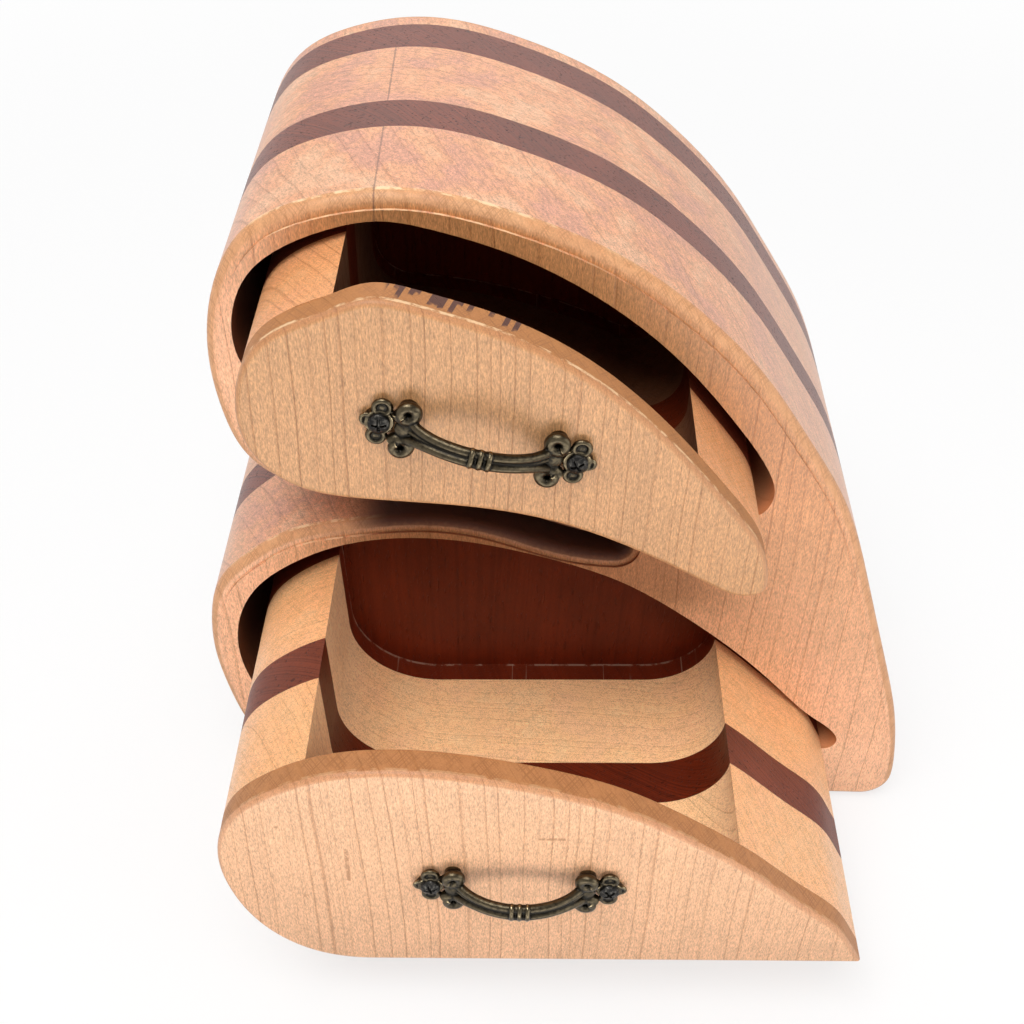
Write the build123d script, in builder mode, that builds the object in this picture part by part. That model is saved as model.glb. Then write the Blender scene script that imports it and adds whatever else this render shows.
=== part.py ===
# Two-drawer bandsaw box: a laminated body of two leaf-shaped lobes on one foot,
# with a drawer in each lobe and a small bronze pull on each drawer.
# Frame: Z up, Z = 0 on the table; the drawers pull out towards -Y; X to the right.
# All sizes in millimetres.
import math
import os

from build123d import *

os.makedirs("parts", exist_ok=True)

# Layers of the glued block, counted from the front face
front_layer = 26.5
front_stripe = 11.0
middle_layer = 25.0
rear_stripe = 11.5
back_panel = 6.0
depth = front_layer + front_stripe + middle_layer + rear_stripe + back_panel

# Rounded front and back edges of the body, with the small step left by the cutter
edge_round = 2.4
edge_step = 0.6
edge_ledge = 0.5

# Outline of the body, seen from the front
foot_left = -58.0
foot_right = 77.5
foot_corner = 7.5
tail_width = [(84.2, 16.0), (81.2, 31.0), (75.0, 50.5), (66.3, 75.7), (55.5, 102.5)]
upper_back = [(46.5, 116.8), (34.0, 134.3), (20.5, 148.0), (5.0, 159.5), (-15.0, 168.3), (-35.0, 172.6)]
upper_nose = [(-52.0, 170.2), (-64.5, 163.7), (-71.5, 152.5), (-74.8, 137.0), (-73.8, 121.5), (-69.5, 109.5)]
upper_chin = [(-61.5, 103.2), (-48.0, 101.3), (-30.0, 100.2), (-12.0, 95.8)]
notch_end = (8.0, 87.6)
notch_gap = 5.2
lower_back = [(-6.0, 87.4), (-20.0, 92.4), (-34.5, 94.2), (-50.0, 92.2), (-62.5, 88.8)]
lower_nose = [(-73.0, 81.5), (-80.8, 72.5), (-84.2, 61.0), (-84.9, 49.0), (-83.4, 36.0), (-79.5, 20.5), (-71.0, 6.5)]

# Openings for the drawers
upper_opening = [
    (-68.9, 140.0), (-67.6, 149.5), (-63.8, 156.4), (-57.4, 161.6), (-49.0, 165.4), (-39.5, 167.4),
    (-29.5, 165.8), (-17.0, 161.8), (0.0, 152.8), (17.7, 138.0), (31.0, 122.0), (38.3, 111.0),
    (40.3, 104.0), (38.3, 99.2), (32.5, 97.8), (24.0, 100.2), (14.5, 105.8), (3.3, 112.0),
    (-8.0, 116.8), (-22.0, 119.8), (-42.0, 121.2), (-55.5, 123.6), (-65.0, 130.2),
]
lower_floor = 16.0
lower_floor_slope = 2.2
lower_floor_left = -43.0
lower_floor_right = 65.2
lower_end = [(67.6, 22.8), (66.4, 26.4)]
lower_opening = [
    (60.0, 32.4), (51.2, 41.8), (39.9, 54.0), (29.6, 63.4), (19.6, 71.4), (10.2, 77.6), (-0.5, 82.4),
    (-12.4, 86.2), (-24.0, 88.8), (-34.2, 89.6), (-45.0, 88.6), (-54.0, 85.9), (-63.5, 80.6),
    (-71.5, 73.4), (-76.4, 64.5), (-78.4, 54.5), (-77.2, 42.5), (-71.5, 30.0), (-58.5, 19.0),
]

# Room between a drawer and its opening
upper_left_gap = 4.6
upper_right_gap = 4.0
upper_top_gap = 2.4
lower_left_gap = 7.2
lower_right_gap = 2.2
lower_top_gap = 5.8
lower_tip_gap = 0.8
floor_gap = 0.4
back_gap = 0.5

# Drawers: a thin front, a hollowed core and a thin dark back
front_slice = 6.0
back_slice = 6.0
slice_round = 1.2
upper_front_rise = 1.2
rise_left = -42.0
rise_right = 4.0
upper_pull = 24.0
lower_pull = 59.0

# Compartments in the drawer cores
upper_left_wall = 18.5
upper_right_wall = 16.2
upper_base = 7.0
upper_corner = 9.0
lower_left_wall = 20.5
lower_right_wall = 29.0
lower_base = 21.8
lower_corner = 20.0
lower_right_corner = 16.0
rim_above = 20.0

# Drawer pulls
handle_length = 44.0
screw_inset = 3.7
upper_handle_at = (-20.6, 137.6)
upper_handle_turn = -13.0
lower_handle_at = (-11.0, 48.6)
lower_handle_turn = 0.0
plate_thick = 1.5
plate_round = 2.6
tip_round = 1.7
lobe_round = 2.1
lobe_out = 3.1
scroll_round = 2.5
scroll_eye = 0.9
scroll_high = 3.4
scroll_in = 4.6
scroll_up = 4.0
bow_foot = 5.2
bow_out = 7.6
bow_up = 1.4
bow_rod = 0.95
bow_spread = 0.8
ring_round = 2.1
ring_thick = 1.0
ring_pitch = 1.6
ring_count = 3

# Screws of the pulls
screw_head = 2.0
screw_head_high = 1.0
screw_shank = 0.8
screw_length = 5.0
screw_play = 0.15
slot_wide = 0.5
slot_deep = 0.45

# Where the layers begin, along Y
y_front = -depth / 2
y_stripe = y_front + front_layer
y_middle = y_stripe + front_stripe
y_rear = y_middle + middle_layer
y_panel = y_rear + rear_stripe
y_back = y_panel + back_panel


def at_y(y):
    """Sketch plane across the box at a depth, with X to the right and Z up."""
    return Plane.XZ.offset(-y)


def moved_in(points, left, right, top, floor):
    """Outline points moved inwards: from each side, down from the top and up from the floor."""
    moved = []
    count = len(points)
    for i in range(count):
        before = points[i - 1]
        after = points[(i + 1) % count]
        along = (after[0] - before[0], after[1] - before[1])
        length = math.hypot(along[0], along[1])
        normal = (along[1] / length, -along[0] / length)
        wide = right if normal[0] > 0 else left
        high = top if normal[1] > 0 else floor
        moved.append((points[i][0] - normal[0] * wide, points[i][1] - normal[1] * high))
    return moved


def on_slope(point):
    """A point that follows the slope of the lower floor, turned about its left end."""
    turned = math.radians(lower_floor_slope)
    side = point[0] - lower_floor_left
    up = point[1] - lower_floor
    x = side * math.cos(turned) - up * math.sin(turned)
    z = side * math.sin(turned) + up * math.cos(turned)
    return (lower_floor_left + x, lower_floor + z)


def body_face(inset):
    """Outline of the body, drawn in by an inset all round."""
    right = foot_right + foot_corner - inset
    top_gap = notch_gap / 2 + inset
    ring = [(right + inset, foot_corner)] + tail_width + upper_back + upper_nose + upper_chin
    ring += [(notch_end[0], notch_end[1] + notch_gap / 2), (notch_end[0], notch_end[1] - notch_gap / 2)]
    ring += lower_back + lower_nose + [(foot_left, 0.0), (foot_right, 0.0)]
    ring = moved_in(ring, inset, inset, inset, inset)
    upper_run = ring[1:1 + len(tail_width + upper_back + upper_nose + upper_chin)]
    lower_run = ring[-2 - len(lower_back + lower_nose):-2]
    with BuildSketch() as face:
        with BuildLine():
            start = (right, foot_corner)
            over = (notch_end[0], notch_end[1] + top_gap)
            under = (notch_end[0], notch_end[1] - top_gap)
            Line((foot_left, inset), (foot_right, inset))
            TangentArc((foot_right, inset), start, tangent=(1, 0))
            Spline(start, *upper_run, over, tangents=((0, 1), (1, 0)), tangent_scalars=(1, 1))
            ThreePointArc(over, (notch_end[0] + top_gap, notch_end[1]), under)
            Spline(under, *lower_run, (foot_left, inset), tangents=((-1, 0), (1, 0)), tangent_scalars=(1, 1))
        make_face()
    return face.sketch


def upper_plan(rise):
    """Outline points of the upper drawer, with its top raised over the compartment."""
    raised = []
    for x, z in upper_opening[::-1]:
        over = rise_left < x < rise_right and z > upper_handle_at[1]
        raised.append((x, z + rise) if over else (x, z))
    return moved_in(raised, upper_left_gap, upper_right_gap, upper_top_gap, floor_gap)


def lower_plan():
    """Outline points of the lower drawer before it is set on the sloping floor: the floor, then the curve."""
    ring = [(lower_floor_left, lower_floor), (lower_floor_right, lower_floor)] + lower_end + lower_opening
    inner = moved_in(ring, lower_left_gap, lower_right_gap, lower_top_gap, floor_gap)
    left = (lower_floor_left, lower_floor + floor_gap)
    tip = (lower_floor_right - lower_tip_gap, lower_floor + floor_gap)
    return [left, tip] + inner[4:]


def closed_face(points):
    """Face inside a closed smooth outline."""
    with BuildSketch() as face:
        with BuildLine():
            Spline(*points, periodic=True)
        make_face()
    return face.sketch


def heading(start, end):
    """Unit direction from one point to another."""
    length = math.dist(start, end)
    return ((end[0] - start[0]) / length, (end[1] - start[1]) / length)


def floored_face(points, sharp):
    """Face over a straight floor, from its two floor points and the curve back over them."""
    along = heading(points[0], points[1])
    rising = heading(points[1], points[2]) if sharp else along
    with BuildSketch() as face:
        with BuildLine():
            Line(points[0], points[1])
            Spline(*points[1:], points[0], tangents=(rising, along), tangent_scalars=(1, 1))
        make_face()
    return face.sketch


outer = body_face(0)
step_face = body_face(edge_round + edge_ledge)
lower_ends = [on_slope((lower_floor_left, lower_floor)), on_slope((lower_floor_right, lower_floor))]
upper_hole = closed_face(upper_opening[::-1])
lower_hole = floored_face(lower_ends + lower_end + lower_opening, False)
upper_plug = closed_face(upper_plan(0))
upper_front_plug = closed_face(upper_plan(upper_front_rise))
lower_plug = floored_face([on_slope(point) for point in lower_plan()], True)

# Body: front layer, with the rounded edge and its step, then the inner layers and the back
with BuildPart() as body_front_layer:
    with BuildSketch(at_y(y_stripe)):
        add(outer)
    extrude(amount=front_layer - edge_step)
    fillet(body_front_layer.faces().sort_by(Axis.Y)[0].outer_wire().edges(), radius=edge_round)
    with BuildSketch(at_y(y_front + edge_step)):
        add(step_face)
    extrude(amount=edge_step)
    with BuildSketch(at_y(y_stripe)):
        add(upper_hole)
        add(lower_hole)
    extrude(amount=front_layer, mode=Mode.SUBTRACT)
body_front_layer.part.label = "body_front_layer"
export_step(body_front_layer.part, "parts/body_front_layer.step")

with BuildPart() as body_front_stripe:
    with BuildSketch(at_y(y_middle)):
        add(outer)
        add(upper_hole, mode=Mode.SUBTRACT)
        add(lower_hole, mode=Mode.SUBTRACT)
    extrude(amount=front_stripe)
body_front_stripe.part.label = "body_front_stripe"
export_step(body_front_stripe.part, "parts/body_front_stripe.step")

with BuildPart() as body_middle_layer:
    with BuildSketch(at_y(y_rear)):
        add(outer)
        add(upper_hole, mode=Mode.SUBTRACT)
        add(lower_hole, mode=Mode.SUBTRACT)
    extrude(amount=middle_layer)
body_middle_layer.part.label = "body_middle_layer"
export_step(body_middle_layer.part, "parts/body_middle_layer.step")

with BuildPart() as body_rear_stripe:
    with BuildSketch(at_y(y_panel)):
        add(outer)
        add(upper_hole, mode=Mode.SUBTRACT)
        add(lower_hole, mode=Mode.SUBTRACT)
    extrude(amount=rear_stripe)
body_rear_stripe.part.label = "body_rear_stripe"
export_step(body_rear_stripe.part, "parts/body_rear_stripe.step")

with BuildPart() as body_back_panel:
    with BuildSketch(at_y(y_back)):
        add(outer)
    extrude(amount=back_panel)
    fillet(body_back_panel.faces().sort_by(Axis.Y)[-1].outer_wire().edges(), radius=edge_round)
body_back_panel.part.label = "body_back_panel"
export_step(body_back_panel.part, "parts/body_back_panel.step")


def pull_plane(handle_at, turn, y_face):
    """Plane on a drawer front: x along the pull, y up, z out of the wood."""
    turned = math.radians(turn)
    axis = (math.cos(turned), 0, math.sin(turned))
    return Plane(origin=(handle_at[0], y_face, handle_at[1]), x_dir=axis, z_dir=(0, -1, 0))


def upper_pocket():
    """Compartment of the upper drawer: its floor follows the curve under it."""
    plug = upper_plan(0)
    x_left = min(p[0] for p in plug) + upper_left_wall
    x_right = max(p[0] for p in plug) - upper_right_wall
    z_top = max(p[1] for p in plug) + rim_above
    bottom = sorted(upper_opening[14:], key=lambda p: p[0])

    def floor_at(x):
        for a, b in zip(bottom, bottom[1:]):
            if a[0] <= x <= b[0]:
                return a[1] + (b[1] - a[1]) * (x - a[0]) / (b[0] - a[0]) + floor_gap + upper_base
        return bottom[-1][1] + floor_gap + upper_base

    with BuildSketch() as face:
        with BuildLine():
            x_mid = (x_left + x_right) / 2
            a = (x_left, floor_at(x_left))
            b = (x_mid, floor_at(x_mid))
            c = (x_right, floor_at(x_right))
            Polyline(a, (x_left, z_top), (x_right, z_top), c)
            Spline(c, b, a)
        make_face()
        fillet(face.vertices().sort_by(Axis.Y)[:2], radius=upper_corner)
    return face.sketch


def lower_pocket():
    """Compartment of the lower drawer, with a flat floor along the drawer's own."""
    plug = lower_plan()
    x_left = min(p[0] for p in plug) + lower_left_wall
    x_right = max(p[0] for p in plug) - lower_right_wall
    z_top = max(p[1] for p in plug) + rim_above
    z_floor = lower_floor + floor_gap + lower_base
    with BuildSketch() as face:
        with BuildLine():
            corners = [(x_left, z_floor), (x_left, z_top), (x_right, z_top), (x_right, z_floor)]
            Polyline([on_slope(corner) for corner in corners], close=True)
        make_face()
        fillet(face.vertices().sort_by_distance(on_slope(corners[0]))[0], radius=lower_corner)
        fillet(face.vertices().sort_by_distance(on_slope(corners[3]))[0], radius=lower_right_corner)
    return face.sketch


upper_space = upper_pocket()
lower_space = lower_pocket()
drawer_length = depth - back_panel - back_gap
core_end = drawer_length - back_slice
screw_at = handle_length / 2 - screw_inset

# One drawer pull in its own frame: X along it, Y up the drawer front, Z out of the wood
with BuildPart() as pull:
    for end in (-1, 1):
        with BuildSketch(Plane.XY):
            with Locations((end * screw_at, 0)):
                Circle(plate_round)
            with Locations((end * (screw_at - scroll_in / 2), 0)):
                Rectangle(scroll_in, 2 * scroll_round)
        extrude(amount=plate_thick)
        with Locations((end * (handle_length / 2 - tip_round), 0, 0)):
            Sphere(tip_round)
        with Locations((end * screw_at, lobe_out, 0), (end * screw_at, -lobe_out, 0)):
            Sphere(lobe_round)
        with Locations((end * (screw_at - bow_foot), 0, 0)):
            Cylinder(scroll_round, scroll_high, align=(Align.CENTER, Align.CENTER, Align.MIN))
        with BuildSketch(Plane.XY):
            with Locations((end * (screw_at - scroll_in), scroll_up), (end * (screw_at - scroll_in), -scroll_up)):
                Circle(scroll_round)
        extrude(amount=scroll_high)
    fillet(pull.faces().filter_by(GeomType.PLANE).group_by(Axis.Z)[-1].edges(), radius=scroll_eye)
    with BuildLine() as bow_path:
        bow_end = screw_at - bow_foot
        ThreePointArc((-bow_end, 0, plate_thick), (0, bow_up, bow_out), (bow_end, 0, plate_thick))
    start = bow_path.line @ 0
    leaving = bow_path.line % 0
    across = Vector(0, bow_up, bow_out - plate_thick).cross(Vector(1, 0, 0)).normalized()
    with BuildSketch(Plane(origin=start, x_dir=across, z_dir=leaving)):
        with Locations((bow_spread, 0), (-bow_spread, 0)):
            Circle(bow_rod)
        Rectangle(2 * bow_spread, bow_rod)
    sweep(path=bow_path.line)
    for i in range(ring_count):
        with Locations(((i - (ring_count - 1) / 2) * ring_pitch, bow_up, bow_out)):
            Cylinder(ring_round, ring_thick, rotation=(0, 90, 0))
    for end in (-1, 1):
        with Locations((end * screw_at, 0, plate_thick)):
            Cylinder(
                screw_head + screw_play,
                bow_out,
                align=(Align.CENTER, Align.CENTER, Align.MIN),
                mode=Mode.SUBTRACT,
            )
        with Locations((end * screw_at, 0, 0)):
            Cylinder(screw_shank + screw_play, 2 * bow_out, mode=Mode.SUBTRACT)
        for side in (-1, 1):
            with Locations((end * (screw_at - scroll_in), side * scroll_up, scroll_high)):
                Sphere(scroll_eye, mode=Mode.SUBTRACT)
    Box(2 * handle_length, handle_length, bow_out, align=(Align.CENTER, Align.CENTER, Align.MAX), mode=Mode.SUBTRACT)

# One screw of a pull, in the same frame, with its head on the plate and a cross slot
with BuildPart() as screw:
    with Locations((0, 0, plate_thick)):
        Cylinder(screw_head, screw_head_high, align=(Align.CENTER, Align.CENTER, Align.MIN))
    fillet(screw.faces().sort_by(Axis.Z)[-1].edges(), radius=screw_head_high / 2)
    with Locations((0, 0, plate_thick)):
        Cylinder(screw_shank, screw_length, align=(Align.CENTER, Align.CENTER, Align.MAX))
    with Locations((0, 0, plate_thick + screw_head_high)):
        Box(1.4 * screw_head, slot_wide, 2 * slot_deep, mode=Mode.SUBTRACT)
        Box(slot_wide, 1.4 * screw_head, 2 * slot_deep, mode=Mode.SUBTRACT)

# Upper drawer, from its front backwards
upper_y = y_front - upper_pull
upper_seat = pull_plane(upper_handle_at, upper_handle_turn, upper_y)

with BuildPart() as upper_drawer_front:
    with BuildSketch(at_y(upper_y + front_slice)):
        add(upper_front_plug)
    extrude(amount=front_slice)
    fillet(upper_drawer_front.faces().sort_by(Axis.Y)[0].outer_wire().edges(), radius=slice_round)
    with BuildSketch(upper_seat):
        with Locations((screw_at, 0), (-screw_at, 0)):
            Circle(screw_shank + screw_play)
    extrude(amount=plate_thick - screw_length - screw_play, mode=Mode.SUBTRACT)
upper_drawer_front.part.label = "upper_drawer_front"
export_step(upper_drawer_front.part, "parts/upper_drawer_front.step")

with BuildPart() as upper_drawer_core_front:
    with BuildSketch(at_y(upper_y + front_layer)):
        add(upper_plug)
        add(upper_space, mode=Mode.SUBTRACT)
    extrude(amount=front_layer - front_slice)
upper_drawer_core_front.part.label = "upper_drawer_core_front"
export_step(upper_drawer_core_front.part, "parts/upper_drawer_core_front.step")

with BuildPart() as upper_drawer_core_stripe:
    with BuildSketch(at_y(upper_y + front_layer + front_stripe)):
        add(upper_plug)
        add(upper_space, mode=Mode.SUBTRACT)
    extrude(amount=front_stripe)
upper_drawer_core_stripe.part.label = "upper_drawer_core_stripe"
export_step(upper_drawer_core_stripe.part, "parts/upper_drawer_core_stripe.step")

with BuildPart() as upper_drawer_core_middle:
    with BuildSketch(at_y(upper_y + front_layer + front_stripe + middle_layer)):
        add(upper_plug)
        add(upper_space, mode=Mode.SUBTRACT)
    extrude(amount=middle_layer)
upper_drawer_core_middle.part.label = "upper_drawer_core_middle"
export_step(upper_drawer_core_middle.part, "parts/upper_drawer_core_middle.step")

with BuildPart() as upper_drawer_core_rear:
    with BuildSketch(at_y(upper_y + core_end)):
        add(upper_plug)
        add(upper_space, mode=Mode.SUBTRACT)
    extrude(amount=core_end - front_layer - front_stripe - middle_layer)
upper_drawer_core_rear.part.label = "upper_drawer_core_rear"
export_step(upper_drawer_core_rear.part, "parts/upper_drawer_core_rear.step")

with BuildPart() as upper_drawer_back:
    with BuildSketch(at_y(upper_y + drawer_length)):
        add(upper_plug)
    extrude(amount=back_slice)
upper_drawer_back.part.label = "upper_drawer_back"
export_step(upper_drawer_back.part, "parts/upper_drawer_back.step")

with BuildPart() as upper_handle:
    with Locations(upper_seat):
        add(pull.part)
upper_handle.part.label = "upper_handle"
export_step(upper_handle.part, "parts/upper_handle.step")

with BuildPart() as upper_handle_screws:
    with Locations(upper_seat):
        with Locations((screw_at, 0, 0), (-screw_at, 0, 0)):
            add(screw.part)
upper_handle_screws.part.label = "upper_handle_screws"
export_step(upper_handle_screws.part, "parts/upper_handle_screws.step")

# Lower drawer, from its front backwards
lower_y = y_front - lower_pull
lower_seat = pull_plane(lower_handle_at, lower_handle_turn, lower_y)

with BuildPart() as lower_drawer_front:
    with BuildSketch(at_y(lower_y + front_slice)):
        add(lower_plug)
    extrude(amount=front_slice)
    fillet(lower_drawer_front.faces().sort_by(Axis.Y)[0].outer_wire().edges(), radius=slice_round)
    with BuildSketch(lower_seat):
        with Locations((screw_at, 0), (-screw_at, 0)):
            Circle(screw_shank + screw_play)
    extrude(amount=plate_thick - screw_length - screw_play, mode=Mode.SUBTRACT)
lower_drawer_front.part.label = "lower_drawer_front"
export_step(lower_drawer_front.part, "parts/lower_drawer_front.step")

with BuildPart() as lower_drawer_core_front:
    with BuildSketch(at_y(lower_y + front_layer)):
        add(lower_plug)
        add(lower_space, mode=Mode.SUBTRACT)
    extrude(amount=front_layer - front_slice)
lower_drawer_core_front.part.label = "lower_drawer_core_front"
export_step(lower_drawer_core_front.part, "parts/lower_drawer_core_front.step")

with BuildPart() as lower_drawer_core_stripe:
    with BuildSketch(at_y(lower_y + front_layer + front_stripe)):
        add(lower_plug)
        add(lower_space, mode=Mode.SUBTRACT)
    extrude(amount=front_stripe)
lower_drawer_core_stripe.part.label = "lower_drawer_core_stripe"
export_step(lower_drawer_core_stripe.part, "parts/lower_drawer_core_stripe.step")

with BuildPart() as lower_drawer_core_middle:
    with BuildSketch(at_y(lower_y + front_layer + front_stripe + middle_layer)):
        add(lower_plug)
        add(lower_space, mode=Mode.SUBTRACT)
    extrude(amount=middle_layer)
lower_drawer_core_middle.part.label = "lower_drawer_core_middle"
export_step(lower_drawer_core_middle.part, "parts/lower_drawer_core_middle.step")

with BuildPart() as lower_drawer_core_rear:
    with BuildSketch(at_y(lower_y + core_end)):
        add(lower_plug)
        add(lower_space, mode=Mode.SUBTRACT)
    extrude(amount=core_end - front_layer - front_stripe - middle_layer)
lower_drawer_core_rear.part.label = "lower_drawer_core_rear"
export_step(lower_drawer_core_rear.part, "parts/lower_drawer_core_rear.step")

with BuildPart() as lower_drawer_back:
    with BuildSketch(at_y(lower_y + drawer_length)):
        add(lower_plug)
    extrude(amount=back_slice)
lower_drawer_back.part.label = "lower_drawer_back"
export_step(lower_drawer_back.part, "parts/lower_drawer_back.step")

with BuildPart() as lower_handle:
    with Locations(lower_seat):
        add(pull.part)
lower_handle.part.label = "lower_handle"
export_step(lower_handle.part, "parts/lower_handle.step")

with BuildPart() as lower_handle_screws:
    with Locations(lower_seat):
        with Locations((screw_at, 0, 0), (-screw_at, 0, 0)):
            add(screw.part)
lower_handle_screws.part.label = "lower_handle_screws"
export_step(lower_handle_screws.part, "parts/lower_handle_screws.step")
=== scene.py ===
# %% [markdown]
# # A bandsaw box with a drawer in each lobe
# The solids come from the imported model: the glued layers of the body, the layers of each drawer,
# the pulls and their screws. This lesson gives them wood and bronze, casts finer pulls in place of
# the plain ones, and sets up a pale studio and the photographed view.

# %% Load the solids
import math
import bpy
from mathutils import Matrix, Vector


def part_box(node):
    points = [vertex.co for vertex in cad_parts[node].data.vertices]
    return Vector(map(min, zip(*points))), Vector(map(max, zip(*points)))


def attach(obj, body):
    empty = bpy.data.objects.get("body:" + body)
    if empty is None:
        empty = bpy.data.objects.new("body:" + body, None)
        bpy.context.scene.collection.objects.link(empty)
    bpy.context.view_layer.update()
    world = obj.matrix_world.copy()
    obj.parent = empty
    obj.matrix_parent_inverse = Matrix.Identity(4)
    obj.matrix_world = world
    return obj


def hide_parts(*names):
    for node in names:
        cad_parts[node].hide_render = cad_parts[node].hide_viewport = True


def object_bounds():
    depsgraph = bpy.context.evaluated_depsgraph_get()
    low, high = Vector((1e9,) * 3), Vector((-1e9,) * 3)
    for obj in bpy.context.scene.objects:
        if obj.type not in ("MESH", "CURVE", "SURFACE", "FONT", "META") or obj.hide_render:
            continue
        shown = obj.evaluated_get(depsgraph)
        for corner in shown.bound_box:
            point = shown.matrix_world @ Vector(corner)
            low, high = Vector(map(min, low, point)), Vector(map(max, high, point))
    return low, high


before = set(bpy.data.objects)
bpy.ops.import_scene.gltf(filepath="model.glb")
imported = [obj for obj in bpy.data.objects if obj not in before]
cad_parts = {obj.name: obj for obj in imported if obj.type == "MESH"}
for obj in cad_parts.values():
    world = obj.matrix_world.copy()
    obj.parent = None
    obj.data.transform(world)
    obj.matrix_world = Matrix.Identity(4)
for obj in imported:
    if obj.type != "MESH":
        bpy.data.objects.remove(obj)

from types import SimpleNamespace

import bmesh
import bpy
import numpy as np
from mathutils import Matrix, Vector

cad_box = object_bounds()
MM = 0.001
scene = bpy.context.scene

# %% [markdown]
# ## The photographed view
# The camera stands close above the box and looks down at it, almost straight on and slightly
# rolled. Its place and angles are written as plain sizes, because they were worked out from the
# outlines: a place in millimetres and three angles. Building the matrix from the forward, level and
# upward directions keeps the roll easy to read.

# %% Camera
IMAGE_SIDE = 1024.0
FOCAL_PIXELS = 1350.0
SENSOR_MM = 36.0
CAMERA_MM = (-13.1, -252.5, 292.0)
LOOK_DOWN = math.radians(42.4)
LOOK_RIGHT = math.radians(-0.41)
ROLL = math.radians(1.19)

forward = Vector((
    math.sin(LOOK_RIGHT) * math.cos(LOOK_DOWN),
    math.cos(LOOK_RIGHT) * math.cos(LOOK_DOWN),
    -math.sin(LOOK_DOWN),
))
level = Vector((math.cos(LOOK_RIGHT), -math.sin(LOOK_RIGHT), 0.0))
over = level.cross(forward)
right = math.cos(ROLL) * level + math.sin(ROLL) * over
up = math.cos(ROLL) * over - math.sin(ROLL) * level
camera_data = bpy.data.cameras.new("photo_camera")
camera_data.sensor_width = SENSOR_MM
camera_data.lens = FOCAL_PIXELS / IMAGE_SIDE * SENSOR_MM
camera_data.clip_start = 0.01
camera = bpy.data.objects.new("photo_camera", camera_data)
turned = Matrix((right, up, -forward)).transposed().to_4x4()
camera.matrix_world = Matrix.Translation(Vector(CAMERA_MM) * MM) @ turned
scene.collection.objects.link(camera)
scene.camera = camera
scene.view_settings.view_transform = "Standard"
print("lens", round(camera_data.lens, 1), "mm at", CAMERA_MM)

# %% [markdown]
# ## Helpers for node trees
# Every finish below is a small formula on the place and the facing of a point. Nodes can be wired by
# hand one at a time, but a formula reads better as calls, so these helpers each add a node or two and
# give back the output. A value may be a plain number or the output of another node.


# %% Helpers for numbers and masks
def feed(tree, socket, value):
    """Set a socket to a plain value, or wire another node's output to it."""
    if isinstance(value, bpy.types.NodeSocket):
        tree.links.new(value, socket)
    else:
        socket.default_value = value


def calc(tree, operation, *values):
    """One step of arithmetic."""
    made = tree.nodes.new("ShaderNodeMath")
    made.operation = operation
    for socket, value in zip(made.inputs, values):
        feed(tree, socket, value)
    return made.outputs[0]


def scaled(tree, value, factor, plus):
    """A value times a factor, plus another value."""
    return calc(tree, "MULTIPLY_ADD", value, factor, plus)


def unless(tree, mask):
    """1 where a mask is 0, and 0 where it is 1."""
    return calc(tree, "SUBTRACT", 1.0, mask)


def times(tree, *values):
    """The product of several masks."""
    product = values[0]
    for value in values[1:]:
        product = calc(tree, "MULTIPLY", product, value)
    return product


def fade(tree, value, low, high):
    """0 below low, 1 above high, and a smooth step between."""
    made = tree.nodes.new("ShaderNodeMapRange")
    made.interpolation_type = "SMOOTHSTEP"
    for label, given_value in (("Value", value), ("From Min", low), ("From Max", high)):
        feed(tree, made.inputs[label], given_value)
    return made.outputs["Result"]


def within(tree, value, low, high, soft):
    """1 between two limits, 0 outside them, with soft borders."""
    return calc(tree, "SUBTRACT", fade(tree, value, low - soft, low), fade(tree, value, high, high + soft))


# %% Helpers for colours, places and noise
def blend(tree, amount, first, second, mode="MIX"):
    """One colour laid over another by an amount."""
    made = tree.nodes.new("ShaderNodeMix")
    made.data_type = "RGBA"
    made.blend_type = mode
    for socket, value in zip((made.inputs[0], made.inputs[6], made.inputs[7]), (amount, first, second)):
        feed(tree, socket, value)
    return made.outputs[2]


def parts_of(tree, place):
    """The X, Y and Z of a vector."""
    made = tree.nodes.new("ShaderNodeSeparateXYZ")
    feed(tree, made.inputs[0], place)
    return made.outputs


def vector(tree, operation, first, second):
    """One step of arithmetic on vectors."""
    made = tree.nodes.new("ShaderNodeVectorMath")
    made.operation = operation
    feed(tree, made.inputs[0], first)
    feed(tree, made.inputs[1], second)
    return made.outputs[0]


def stretched(tree, place, x, y, z):
    """A vector with each of its axes drawn out or squeezed."""
    return vector(tree, "MULTIPLY", place, (x, y, z))


def noise(tree, place, scale, detail=2.0, rough=0.5):
    """Soft cloudy noise in space, about 0.5 on average."""
    made = tree.nodes.new("ShaderNodeTexNoise")
    feed(tree, made.inputs["Vector"], place)
    made.inputs["Scale"].default_value = scale
    made.inputs["Detail"].default_value = detail
    made.inputs["Roughness"].default_value = rough
    return made.outputs["Fac"]


def line_noise(tree, along, detail=2.0, rough=0.5):
    """Noise along one number only, which draws irregular parallel lines."""
    made = tree.nodes.new("ShaderNodeTexNoise")
    made.noise_dimensions = "1D"
    feed(tree, made.inputs["W"], along)
    made.inputs["Scale"].default_value = 1.0
    made.inputs["Detail"].default_value = detail
    made.inputs["Roughness"].default_value = rough
    return made.outputs["Fac"]


# %% [markdown]
# ## The studio
# The box stood on white under soft light from above, with more white round about. The floor and the
# horizon are white to the lens and to gloss, by the Light Path node, while the light that falls on
# the wood stays at a plain level. Above the horizon the surroundings turn grey, which gives the
# bronze something dark to mirror. The floor is part white glow and part plain paint near the box, so it
# keeps a faint shadow, and all glow farther off, so it meets the white background without a line.


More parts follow.
